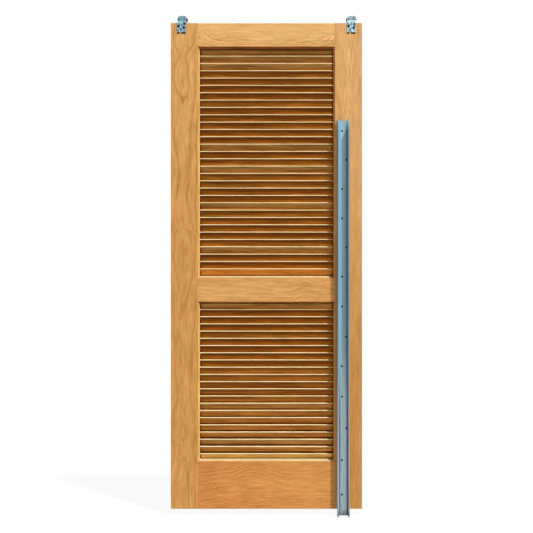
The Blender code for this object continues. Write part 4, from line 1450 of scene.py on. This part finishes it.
def arc(centre: Pair, radius: float, start: float, sweep: float) -> list[Pair]:
    """Points along an arc, both ends included.

    Args:
        centre: Its centre.
        radius: Its radius.
        start: Angle of its first point, in radians.
        sweep: Angle that it covers, in radians.

    Returns:
        The points in order.
    """
    angles = [start + sweep * step / ARC_STEPS for step in range(ARC_STEPS + 1)]
    return [(centre[0] + radius * math.cos(a), centre[1] + radius * math.sin(a)) for a in angles]


def slot(centre: Pair, width: float, length: float) -> list[Pair]:
    """The edge of an upright slot with round ends, or of a round hole if its length is its width."""
    across, level = centre
    reach = (length - width) / 2
    upper = arc((across, level + reach), width / 2, 0, math.pi)
    lower = arc((across, level - reach), width / 2, math.pi, math.pi)
    return upper + lower if reach > 0 else upper[:-1] + lower[:-1]


def dome(radius: float, rim: float, rise: float, steps: int) -> list[Pair]:
    """Radius and level along a domed head's profile, from its rim to its crown."""
    angles = [math.pi / 2 * number / steps for number in range(steps + 1)]
    return [(radius * math.cos(angle), rim + rise * math.sin(angle)) for angle in angles]


def cut_grid(shape: bmesh.types.BMesh, low: Vector, high: Vector, step: float,
             axes: tuple[int, ...]) -> None:
    """Cut the faces of a flat sheet along evenly spaced lines inside a box.

    Args:
        shape: The sheet, in its own XY plane.
        low: The box's lower corner.
        high: The box's upper corner.
        step: Distance between lines.
        axes: The axes that the lines are square to: 0 for X and 1 for Y.
    """
    for axis in axes:
        lines = max(1, round((high[axis] - low[axis]) / step))
        for number in range(lines + 1):
            place = low[axis] + (high[axis] - low[axis]) * number / lines
            near = [face for face in shape.faces if touches(face, low, high)]
            edges = {edge for face in near for edge in face.edges}
            verts = {vert for face in near for vert in face.verts}
            line = [place if index == axis else 0.0 for index in range(3)]
            normal = [1.0 if index == axis else 0.0 for index in range(3)]
            bmesh.ops.bisect_plane(
                shape, geom=[*verts, *edges, *near], dist=WELD, plane_co=line, plane_no=normal)


def touches(face: bmesh.types.BMFace, low: Vector, high: Vector) -> bool:
    """Whether a face's bounds reach into a box of the XY plane."""
    return all(
        min(vert.co[axis] for vert in face.verts) < high[axis]
        and max(vert.co[axis] for vert in face.verts) > low[axis] for axis in (0, 1))


@dataclass
class Rivet:
    """The stepped rivet that a wheel turns on, about local Y, its head to the front."""

    front: float
    rear: float
    head_diameter: float = 0.008
    head_height: float = 0.0016
    shank_diameter: float = 0.004
    shoulder_diameter: float = 0.0075
    journal_diameter: float = 0.005
    plate_rear: float = 0.0026
    journal_length: float = 0.0066
    segments: int = 28
    dome_steps: int = 6
    easing: float = 0.00015

    @classmethod
    def between(cls, node: str) -> "Rivet":
        """A rivet as long as a CAD node, about that node's middle."""
        low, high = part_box(node)
        return cls(front=(high.y - low.y) / 2, rear=(low.y - high.y) / 2)

    def mesh(self) -> bpy.types.Mesh:
        """The rivet's mesh about its own middle, with its head towards -Y."""
        head, shank = self.head_diameter / 2, self.shank_diameter / 2
        shoulder, journal = self.shoulder_diameter / 2, self.journal_diameter / 2
        under = self.front - self.head_height
        seat, tail = under - self.plate_rear, self.rear + self.head_height
        step = tail + self.journal_length
        crown = dome(head, under, self.head_height, self.dome_steps)
        foot = [(radius, tail - (height - under)) for radius, height in crown]
        profile = [(0.0, self.front), *crown[::-1][1:], (shank, under), (shank, seat), (shoulder, seat),
                   (shoulder, step), (journal, step), (journal, tail), *foot[:-1], (0.0, self.rear)]
        mesh = turned("rivet", tuple(profile), self.segments)
        mesh.transform(TO_FRONT)
        return mesh


@dataclass
class Wheel:
    """A moulded wheel with a crowned tread and a dish on each face between hub and rim."""

    centre: Vector
    radius: float
    half_width: float
    bore: float = 0.0028
    hub: float = 0.005
    rim_wall: float = 0.0025
    dish: float = 0.0012
    crown: float = 0.0003
    segments: int = 56
    tread_steps: int = 4

    @classmethod
    def of(cls, node: str) -> "Wheel":
        """A wheel that fills a CAD node's box."""
        low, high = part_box(node)
        return cls((low + high) / 2, (high.z - low.z) / 2, (high.y - low.y) / 2)

    def mesh(self) -> bpy.types.Mesh:
        """The wheel's mesh, in place."""
        half, steps = self.half_width, self.tread_steps
        floor, rim = half - self.dish, self.radius - self.rim_wall
        upper = [(self.bore, half), (self.hub, half), (self.hub, floor), (rim, floor), (rim, half)]
        shares = [number / steps for number in range(-steps, steps + 1)]
        tread = [(self.radius - self.crown * share ** 2, -share * half) for share in shares]
        lower = [(radius, -height) for radius, height in reversed(upper)]
        mesh = turned("wheel", (*upper, *tread, *lower, upper[0]), self.segments)
        mesh.transform(Matrix.Translation(self.centre) @ TO_FRONT)
        return softened(mesh, self.crown)


@dataclass
class Screw:
    """A pan-head wood screw with a cross recess, about local Y, its head to the front."""

    length: float
    head_diameter: float = 0.0085
    head_height: float = 0.0028
    shank_diameter: float = 0.004
    point: float = 0.005
    recess_span: float = 0.0046
    recess_width: float = 0.0012
    recess_depth: float = 0.0014
    recess_taper: float = 0.35
    arms: int = 4
    rim_share: float = 0.35
    dome_steps: int = 8
    segments: int = 32
    easing: float = 0.00012

    def mesh(self) -> bpy.types.Mesh:
        """The screw's mesh about the middle of its length, with its head towards -Y."""
        head, shank, front = self.head_diameter / 2, self.shank_diameter / 2, self.length / 2
        under = front - self.head_height
        edge = under + self.head_height * self.rim_share
        crown = dome(head, edge, front - edge, self.dome_steps)
        profile = [(0.0, front), *crown[::-1][1:], (head, under), (shank, under),
                   (shank, self.point - front), (0.0, -front)]
        body = new_object("screw", turned("screw", tuple(profile), self.segments))
        cross = new_object("recess", self.recess_mesh(front))
        cut = body.modifiers.new("recess", "BOOLEAN")
        cut.operation = "DIFFERENCE"
        cut.solver = "EXACT"
        cut.object = cross
        mesh = evaluated_mesh(body)
        bpy.data.objects.remove(cross)
        mesh.transform(TO_FRONT)
        return softened(mesh, self.easing, 1)

    def recess_mesh(self, front: float) -> bpy.types.Mesh:
        """A cross that narrows downwards, for the recess."""
        shape = bmesh.new()
        rings = []
        for share, rise in ((1.0, self.recess_depth), (self.recess_taper, -self.recess_depth)):
            arm, half, level = self.recess_span / 2 * share, self.recess_width / 2, front + rise
            ring = []
            for turn in range(self.arms):
                spin = Matrix.Rotation(turn * math.tau / self.arms, 3, "Z")
                corners = ((arm, -half), (arm, half), (half, half))
                ring += [shape.verts.new(spin @ Vector((x, y, level))) for x, y in corners]
            rings.append(ring)
        top, bottom = rings
        shape.faces.new(top)
        shape.faces.new(bottom[::-1])
        for number in range(len(top)):
            after = (number + 1) % len(top)
            shape.faces.new((top[after], top[number], bottom[number], bottom[after]))
        bmesh.ops.recalc_face_normals(shape, faces=shape.faces)
        mesh = bpy.data.meshes.new("recess")
        shape.to_mesh(mesh)
        shape.free()
        return mesh


@dataclass
class HangerScrews:
    """The four screws that hold the hangers, which stay in the door."""

    spread: float = 0.7
    seed: int = 5

    def build(self, material: bpy.types.Material, fasteners: GeometryTree) -> None:
        """Set a screw in each of its places.

        Args:
            material: The screws' material.
            fasteners: The tree that sets them.
        """
        nodes = [f"{side.value}_hanger_screw_{number}" for side in Side for number in (1, 2)]
        boxes = [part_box(node) for node in nodes]
        low, high = boxes[0]
        screw = new_object("screw", Screw(high.y - low.y).mesh())
        spots = [(low + high) / 2 for low, high in boxes]
        mesh = fasteners.mesh("hanger_screws", points_mesh("spots", spots), {
            "Fastener": screw, "Spread": self.spread, "Seed": self.seed, "Finish": material})
        bpy.data.objects.remove(screw)
        dress("hanger_screws", mesh, material, "door", "zinc_screw", *nodes)


@dataclass
class Track:
    """The lipped channel that the hangers run in, with its row of screw holes."""

    wall: float = 0.0012
    lip: float = 0.0065
    bend: float = 0.0016
    hole_diameter: float = 0.005
    sink_diameter: float = 0.0088
    hole_shares: tuple[float, ...] = (
        0.026, 0.099, 0.173, 0.247, 0.321, 0.395, 0.471, 0.547, 0.622, 0.699, 0.779, 0.860, 0.947)
    hole_segments: int = 28
    row_pattern: tuple[int, ...] = (0, 1, 0)
    row_shares: Pair = (-0.09, 0.265)
    bore_share: float = 0.4
    easing: float = 0.00015

    def build(self, material: bpy.types.Material) -> None:
        """Bend the strip, punch its holes and dress it.

        Args:
            material: The track's material.
        """
        low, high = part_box("track")
        left, right = low.x + self.wall / 2, high.x - self.wall / 2
        mouth, web = low.y + self.wall / 2, high.y - self.wall / 2
        level = (low.z + high.z) / 2
        path = [(low.x + self.lip, mouth), (left, mouth), (left, web), (right, web), (right, mouth),
                (high.x - self.lip, mouth)]
        line = points_mesh("strip", [(x, y, level) for x, y in path],
                           [(number, number + 1) for number in range(len(path) - 1)])
        holes = new_object("holes", points_mesh("holes", self.hole_spots(low, high)))
        punch = new_object("punch", self.punch_mesh())
        mesh = self.tree().mesh("track_channel", line, {
            "Wall": self.wall, "Height": high.z - low.z, "Bend": self.bend, "Holes": holes,
            "Punch": punch, "Rim": self.sink_diameter / 2, "Finish": material})
        for thing in (holes, punch):
            bpy.data.objects.remove(thing)
        mesh = softened(cleaned(mesh), self.easing)
        dress("track_channel", mesh, material, "track", "track_steel", "track")

    def punch_mesh(self) -> bpy.types.Mesh:
        """What is taken out at each hole: a straight bore and its countersink, about local Y."""
        bore, sink = self.hole_diameter / 2, self.sink_diameter / 2
        seat, outside = self.wall * self.bore_share, self.wall * 2
        flare = bore + (sink - bore) * (outside - seat) / (self.wall - seat)
        profile = ((0.0, -self.wall), (bore, -self.wall), (bore, seat), (flare, outside), (0.0, outside))
        mesh = turned("punch", profile, self.hole_segments)
        mesh.transform(TO_FRONT)
        return mesh

    def marks(self) -> tuple[ShadePatch, ...]:
        """Painted shade on the door under the screw holes."""
        reach = self.hole_diameter / 2 + self.wall
        return tuple(ShadePatch(spot.x, spot.z, reach, reach) for spot in self.hole_spots(*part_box("track")))

    def hole_spots(self, low: Vector, high: Vector) -> list[Vector]:
        """Middle of each screw hole.

        Args:
            low: Lowest corner of the track.
            high: Its highest corner.

        Returns:
            The holes' middles, from the top down.
        """
        centre, width, length = (low.x + high.x) / 2, high.x - low.x, high.z - low.z
        spots = []
        for number, share in enumerate(self.hole_shares):
            row = self.row_pattern[number % len(self.row_pattern)]
            spots.append(Vector((centre + width * self.row_shares[row], high.y, high.z - length * share)))
        return spots

    @staticmethod
    def tree() -> GeometryTree:
        """The tree that bends a strip along a line and punches it."""
        tree = GeometryTree("perforated_channel", {
            "Wall": "Float", "Height": "Float", "Bend": "Float", "Holes": "Object", "Punch": "Object",
            "Rim": "Float"})
        given = tree.given
        path = tree.add("GeometryNodeMeshToCurve", {"Mesh": given["Geometry"]})
        path = tree.add("GeometryNodeFilletCurve", {
            "Curve": path.outputs[0], "Count": FILLET_STEPS, "Radius": given["Bend"]}, mode="POLY")
        section = tree.add("GeometryNodeCurvePrimitiveQuadrilateral", {
            "Width": given["Wall"], "Height": given["Height"]})
        strip = tree.add("GeometryNodeCurveToMesh", {
            "Curve": path.outputs[0], "Profile Curve": section.outputs[0], "Fill Caps": True})
        spots = tree.add("GeometryNodeObjectInfo", {"Object": given["Holes"]}).outputs["Geometry"]
        punch = tree.add("GeometryNodeObjectInfo", {"Object": given["Punch"]}).outputs["Geometry"]
        punches = tree.add("GeometryNodeInstanceOnPoints", {"Points": spots, "Instance": punch})
        solid = tree.add("GeometryNodeRealizeInstances", {0: punches.outputs[0]})
        punched = tree.add("GeometryNodeMeshBoolean", {
            "Mesh 1": strip.outputs[0], "Mesh 2": solid.outputs[0]},
            operation="DIFFERENCE", solver="EXACT")
        # Marks the countersinks, which the finish paints with shade.
        where = tree.add("GeometryNodeInputPosition").outputs[0]
        nearest = tree.add("GeometryNodeProximity", {"Geometry": spots, "Sample Position": where},
                           target_element="POINTS").outputs["Distance"]
        rim = tree.math("LESS_THAN", nearest, given["Rim"])
        marked = tree.add("GeometryNodeStoreNamedAttribute", {
            "Geometry": punched.outputs[0], "Name": RIM_ATTRIBUTE, "Value": rim},
            data_type="FLOAT", domain="FACE")
        tree.close(marked.outputs[0])
        return tree


@dataclass
class Studio:
    """Floor, light and camera: the photograph's view on plain white."""

    camera_distance: float = 3.0
    camera_height: float = 0.875
    view_middle: float = 1.0137
    view_width: float = 2.229
    sensor: float = 36.0
    key_towards: Triple = (1.05, -0.95, 3.0)
    key_strength: float = 4.85
    key_angle: float = math.radians(3.0)
    dome_towards: Triple = (0.1, -1.0, 0.35)
    dome_strength: float = 0.60
    dome_angle: float = math.radians(110.0)
    sky_strength: float = 0.10
    floor_size: float = 60.0
    floor_colour: Colour = (190, 186, 178)
    floor_shown: Colour = (235, 235, 235)
    floor_glow: float = 0.94

    def build(self, face: float, ground: float) -> None:
        """Set up everything around the door.

        Args:
            face: The Y of the door's hanger-side face.
            ground: The level of the floor.
        """
        bpy.context.scene.view_settings.view_transform = "Standard"
        self.add_floor(ground)
        self.add_sky()
        self.add_lamp("key", self.key_strength, self.key_angle, self.key_towards)
        self.add_lamp("dome", self.dome_strength, self.dome_angle, self.dome_towards)
        self.add_camera(face)

    def add_floor(self, ground: float) -> None:
        """A pale floor that shows white but keeps the door's shadow."""
        mesh = bpy.data.meshes.new("floor")
        shape = bmesh.new()
        bmesh.ops.create_grid(shape, x_segments=1, y_segments=1, size=self.floor_size)
        bmesh.ops.translate(shape, verts=shape.verts, vec=(0, 0, ground))
        shape.to_mesh(mesh)
        shape.free()
        material, graph = new_shader("floor")
        seen = self.seen_directly(graph)
        colour = graph.mix(seen, linear(self.floor_colour), linear(self.floor_shown))
        plain = graph.add("ShaderNodeBsdfDiffuse", {"Color": colour})
        white = graph.add("ShaderNodeEmission", {"Color": (1, 1, 1, 1), "Strength": 1.0})
        glow = graph.math("MULTIPLY", seen, self.floor_glow)
        mixed = graph.add("ShaderNodeMixShader", {0: glow, 1: plain.outputs[0], 2: white.outputs[0]})
        graph.add("ShaderNodeOutputMaterial", {"Surface": mixed.outputs[0]})
        mesh.materials.append(material)
        new_object("floor", mesh)

    @staticmethod
    def seen_directly(graph: Graph) -> bpy.types.NodeSocket:
        """One for a ray that shows its surface, straight or in a reflection, and zero for other rays."""
        ray = graph.add("ShaderNodeLightPath").outputs
        glossy = graph.math("MAXIMUM", ray["Is Camera Ray"], ray["Is Glossy Ray"])
        clear = graph.math("MAXIMUM", glossy, ray["Is Transmission Ray"])
        return graph.math("MULTIPLY", clear, graph.math("LESS_THAN", ray["Diffuse Depth"], 0.5))

    def add_sky(self) -> None:
        """A sky that shows white and lights the door softly."""
        world = bpy.data.worlds.new("studio")
        world.use_nodes = True
        bpy.context.scene.world = world
        graph = Graph(world.node_tree)
        seen = self.seen_directly(graph)
        gain = graph.math("MULTIPLY_ADD", seen, 1.0 - self.sky_strength, self.sky_strength)
        sky = graph.add("ShaderNodeBackground", {"Color": (1, 1, 1, 1), "Strength": gain})
        graph.add("ShaderNodeOutputWorld", {"Surface": sky.outputs[0]})

    @staticmethod
    def add_lamp(name: str, strength: float, angle: float, towards: Triple) -> None:
        """Add a distant lamp.

        Args:
            name: Its name.
            strength: Its strength.
            angle: How wide it looks from the door, in radians.
            towards: A vector from the door towards it.
        """
        lamp = bpy.data.lights.new(name, "SUN")
        lamp.energy = strength
        lamp.angle = angle
        holder = new_object(name, lamp)
        holder.rotation_euler = Vector(towards).to_track_quat("Z", "Y").to_euler()

    def add_camera(self, face: float) -> None:
        """A level camera square to the door.

        Args:
            face: The Y of the door's hanger-side face.
        """
        camera = bpy.data.cameras.new("camera")
        camera.sensor_width = self.sensor
        camera.lens = self.sensor * self.camera_distance / self.view_width
        camera.shift_y = (self.view_middle - self.camera_height) / self.view_width
        holder = new_object("camera", camera)
        holder.location = (0.0, face - self.camera_distance, self.camera_height)
        holder.rotation_euler = (math.pi / 2, 0.0, 0.0)
        bpy.context.scene.camera = holder


# Bevel shading below is painted light: painted shade on shaded bevels, painted highlights on lit ones.
BOARDS = {
    "left_stile": PineFinish(
        "left_stile_pine", Grain.UPRIGHT, (203, 149, 83), (182, 104, 50), (216, 163, 98), (1.1, 1.95),
        drift=((0.0, -0.355), (0.100, -0.355), (0.238, -0.344), (0.320, -0.349), (0.490, -0.345),
               (0.664, -0.3475), (0.848, -0.345), (1.103, -0.343), (1.254, -0.3535), (1.345, -0.350),
               (1.413, -0.345), (1.493, -0.3495), (1.597, -0.354), (1.714, -0.349), (1.827, -0.3556),
               (1.898, -0.350), (2.032, -0.342)),
        swell=((0.0, 0.1726), (0.100, 0.1734), (0.213, 0.1755), (0.238, 0.1777), (0.288, 0.1755),
               (0.320, 0.1749), (0.351, 0.1755), (0.420, 0.1775), (0.490, 0.1802), (0.535, 0.1790),
               (0.664, 0.1784), (0.811, 0.1758), (0.848, 0.1755), (0.975, 0.1724), (1.103, 0.1690),
               (1.170, 0.1755), (1.254, 0.1795), (1.345, 0.1806), (1.413, 0.1807), (1.493, 0.1795),
               (1.597, 0.1778), (1.714, 0.1755), (1.827, 0.1727), (1.898, 0.1750), (1.961, 0.1696),
               (2.032, 0.1709)),
        strength=((0.0, 0.65), (1.0, 0.75), (1.3, 0.85), (2.032, 0.85)),
        bevel_shading=(BevelShading(-0.279, (236, 182, 102), (218, 168, 94), 0.0, spill=0.3),),
        line_width=0.0080, ripple=0.0012, wander=0.0008, seed=1.0),
    "right_stile": PineFinish(
        "right_stile_pine", Grain.UPRIGHT, (199, 142, 76), (182, 108, 52), (228, 180, 118), (0.6, 1.9),
        drift=((0.0, 0.335), (1.0, 0.340), (1.64, 0.3405), (1.72, 0.3415), (1.84, 0.3410),
               (1.90, 0.3425), (2.032, 0.3430)),
        swell=((0.0, 0.0520), (1.0, 0.0500), (1.40, 0.0545), (1.64, 0.0572), (1.718, 0.0600),
               (1.775, 0.0592), (1.827, 0.0600), (1.835, 0.0602), (1.844, 0.0600), (1.884, 0.0590),
               (1.923, 0.0600), (1.940, 0.0604), (1.957, 0.0600), (1.973, 0.0594), (1.990, 0.0600),
               (2.032, 0.0610)),
        strength=((0.0, 0.18), (1.45, 0.2), (1.65, 0.6), (2.032, 0.65)),
        bevel_shading=(BevelShading(0.279, (172, 112, 54), (206, 144, 82), 0.3, spill=0.3),),
        ring_width=0.0021, line_width=0.0032, ripple=0.0016, seed=2.0),
    "top_rail": PineFinish(
        "top_rail_pine", Grain.LEVEL, (228, 177, 112), (182, 108, 50), (230, 181, 116), (-0.28, 0.28),
        drift=((-0.29, 1.975), (-0.10, 1.978), (0.0, 1.975), (0.15, 1.977), (0.29, 1.974)),
        swell=((-0.29, 0.1020), (-0.28, 0.1008), (-0.236, 0.0950), (-0.15, 0.0920), (0.0, 0.0902),
               (0.10, 0.0908), (0.20, 0.0930), (0.25, 0.0960), (0.28, 0.1000), (0.29, 0.1012)),
        strength=((-0.29, 1.2), (-0.15, 0.95), (0.0, 0.75), (0.2, 1.0), (0.29, 1.2)),
        bevel_shading=(BevelShading(1.924, reach=0.0105),),
        ring_width=0.0028, line_width=0.0036, ripple=0.0016, bare_side=0.8, seed=3.0),
    "mid_rail": PineFinish(
        "middle_rail_pine", Grain.LEVEL, (222, 170, 104), (180, 108, 52), (226, 169, 102), (-0.28, 0.28),
        drift=((-0.29, 0.826), (0.0, 0.824), (0.10, 0.824), (0.155, 0.836), (0.20, 0.826), (0.29, 0.822)),
        swell=((-0.29, 0.050), (0.0, 0.051), (0.10, 0.0505), (0.155, 0.0500), (0.29, 0.0515)),
        strength=((-0.29, 0.9), (0.0, 0.8), (0.15, 0.9), (0.29, 0.8)),
        bevel_shading=(BevelShading(0.858, reach=0.0095),
                   BevelShading(0.974, (212, 203, 154), (158, 118, 58), 0.0)),
        ring_width=0.0047, line_width=0.0030, ripple=0.0022, seed=4.0),
    "bottom_rail": PineFinish(
        "bottom_rail_pine", Grain.LEVEL, (206, 139, 75), (180, 104, 50), (211, 150, 81), (-0.28, 0.1),
        drift=((-0.29, 0.085), (-0.15, 0.100), (-0.05, 0.118), (0.10, 0.100), (0.29, 0.110)),
        swell=((-0.29, 0.1190), (-0.14, 0.1215), (-0.06, 0.1165), (0.02, 0.1200), (0.12, 0.1235),
               (0.29, 0.1180)),
        strength=((-0.29, 0.6), (-0.1, 0.65), (0.1, 0.5), (0.29, 0.5)),
        bevel_shading=(BevelShading(0.207, (184, 182, 138), (190, 152, 94), 0.0),),
        ring_width=0.0055, line_width=0.0075, ripple=0.0034, seed=5.0),
}


PLATINGS = {
    Side.LEFT: ZincFinish("left_hanger_plating"),
    Side.RIGHT: ZincFinish(
        "right_hanger_plating", bright=(176, 202, 210), dull=(84, 114, 128), head=(128, 150, 158)),
}
RIVET_PLATING = ZincFinish("dull_plating", bright=(112, 136, 146), dull=(64, 84, 96), rough=0.45)
SCREW_PLATING = ZincFinish("dark_plating", bright=(44, 54, 62), dull=(22, 28, 32), rough=0.45)
PANELS = (
    LouvrePanel("upper", "mid_rail", "top_rail", sets=16, seed=11),
    LouvrePanel("lower", "bottom_rail", "mid_rail", sets=11, seed=23),
)


def main() -> None:
    """Dress the whole door and set up the view."""
    hangers, track = {side: Hanger(side) for side in Side}, Track()
    # Patches of painted shade on the stiles: under the hangers' plates and behind the track's screw
    # holes.
    marks = {
        "left_stile": hangers[Side.LEFT].marks(),
        "right_stile": hangers[Side.RIGHT].marks() + track.marks()}
    for node, finish in BOARDS.items():
        Member(node, finish).build(marks.get(node, ()))
    beech = DowelFinish().material()
    for name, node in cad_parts.items():
        if "_dowel_" in name:
            node.data.materials.clear()
            node.data.materials.append(beech)

    near, far = (corner.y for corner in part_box("upper_louvres_02"))
    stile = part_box("bottom_rail")[1].x - LouvrePanel.sticking()
    sills = (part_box("bottom_rail")[1].z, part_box("mid_rail")[1].z)
    slats = SlatFinish().material(near, far, stile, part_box("top_rail")[0].z, sills)
    row = slat_row_tree()
    for panel in PANELS:
        panel.build(row, slats)

    nylon, rivet_plating, fasteners = NylonFinish().material(), RIVET_PLATING.material(), fastener_tree()
    for hanger in hangers.values():
        hanger.build(nylon, rivet_plating, fasteners)
    HangerScrews().build(SCREW_PLATING.material(), fasteners)
    track.build(GalvanisedFinish().material(*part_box("track")))

    low, _ = cad_box
    Studio().build(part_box("left_stile")[0].y, low.z)


if __name__ == "__main__":
    main()
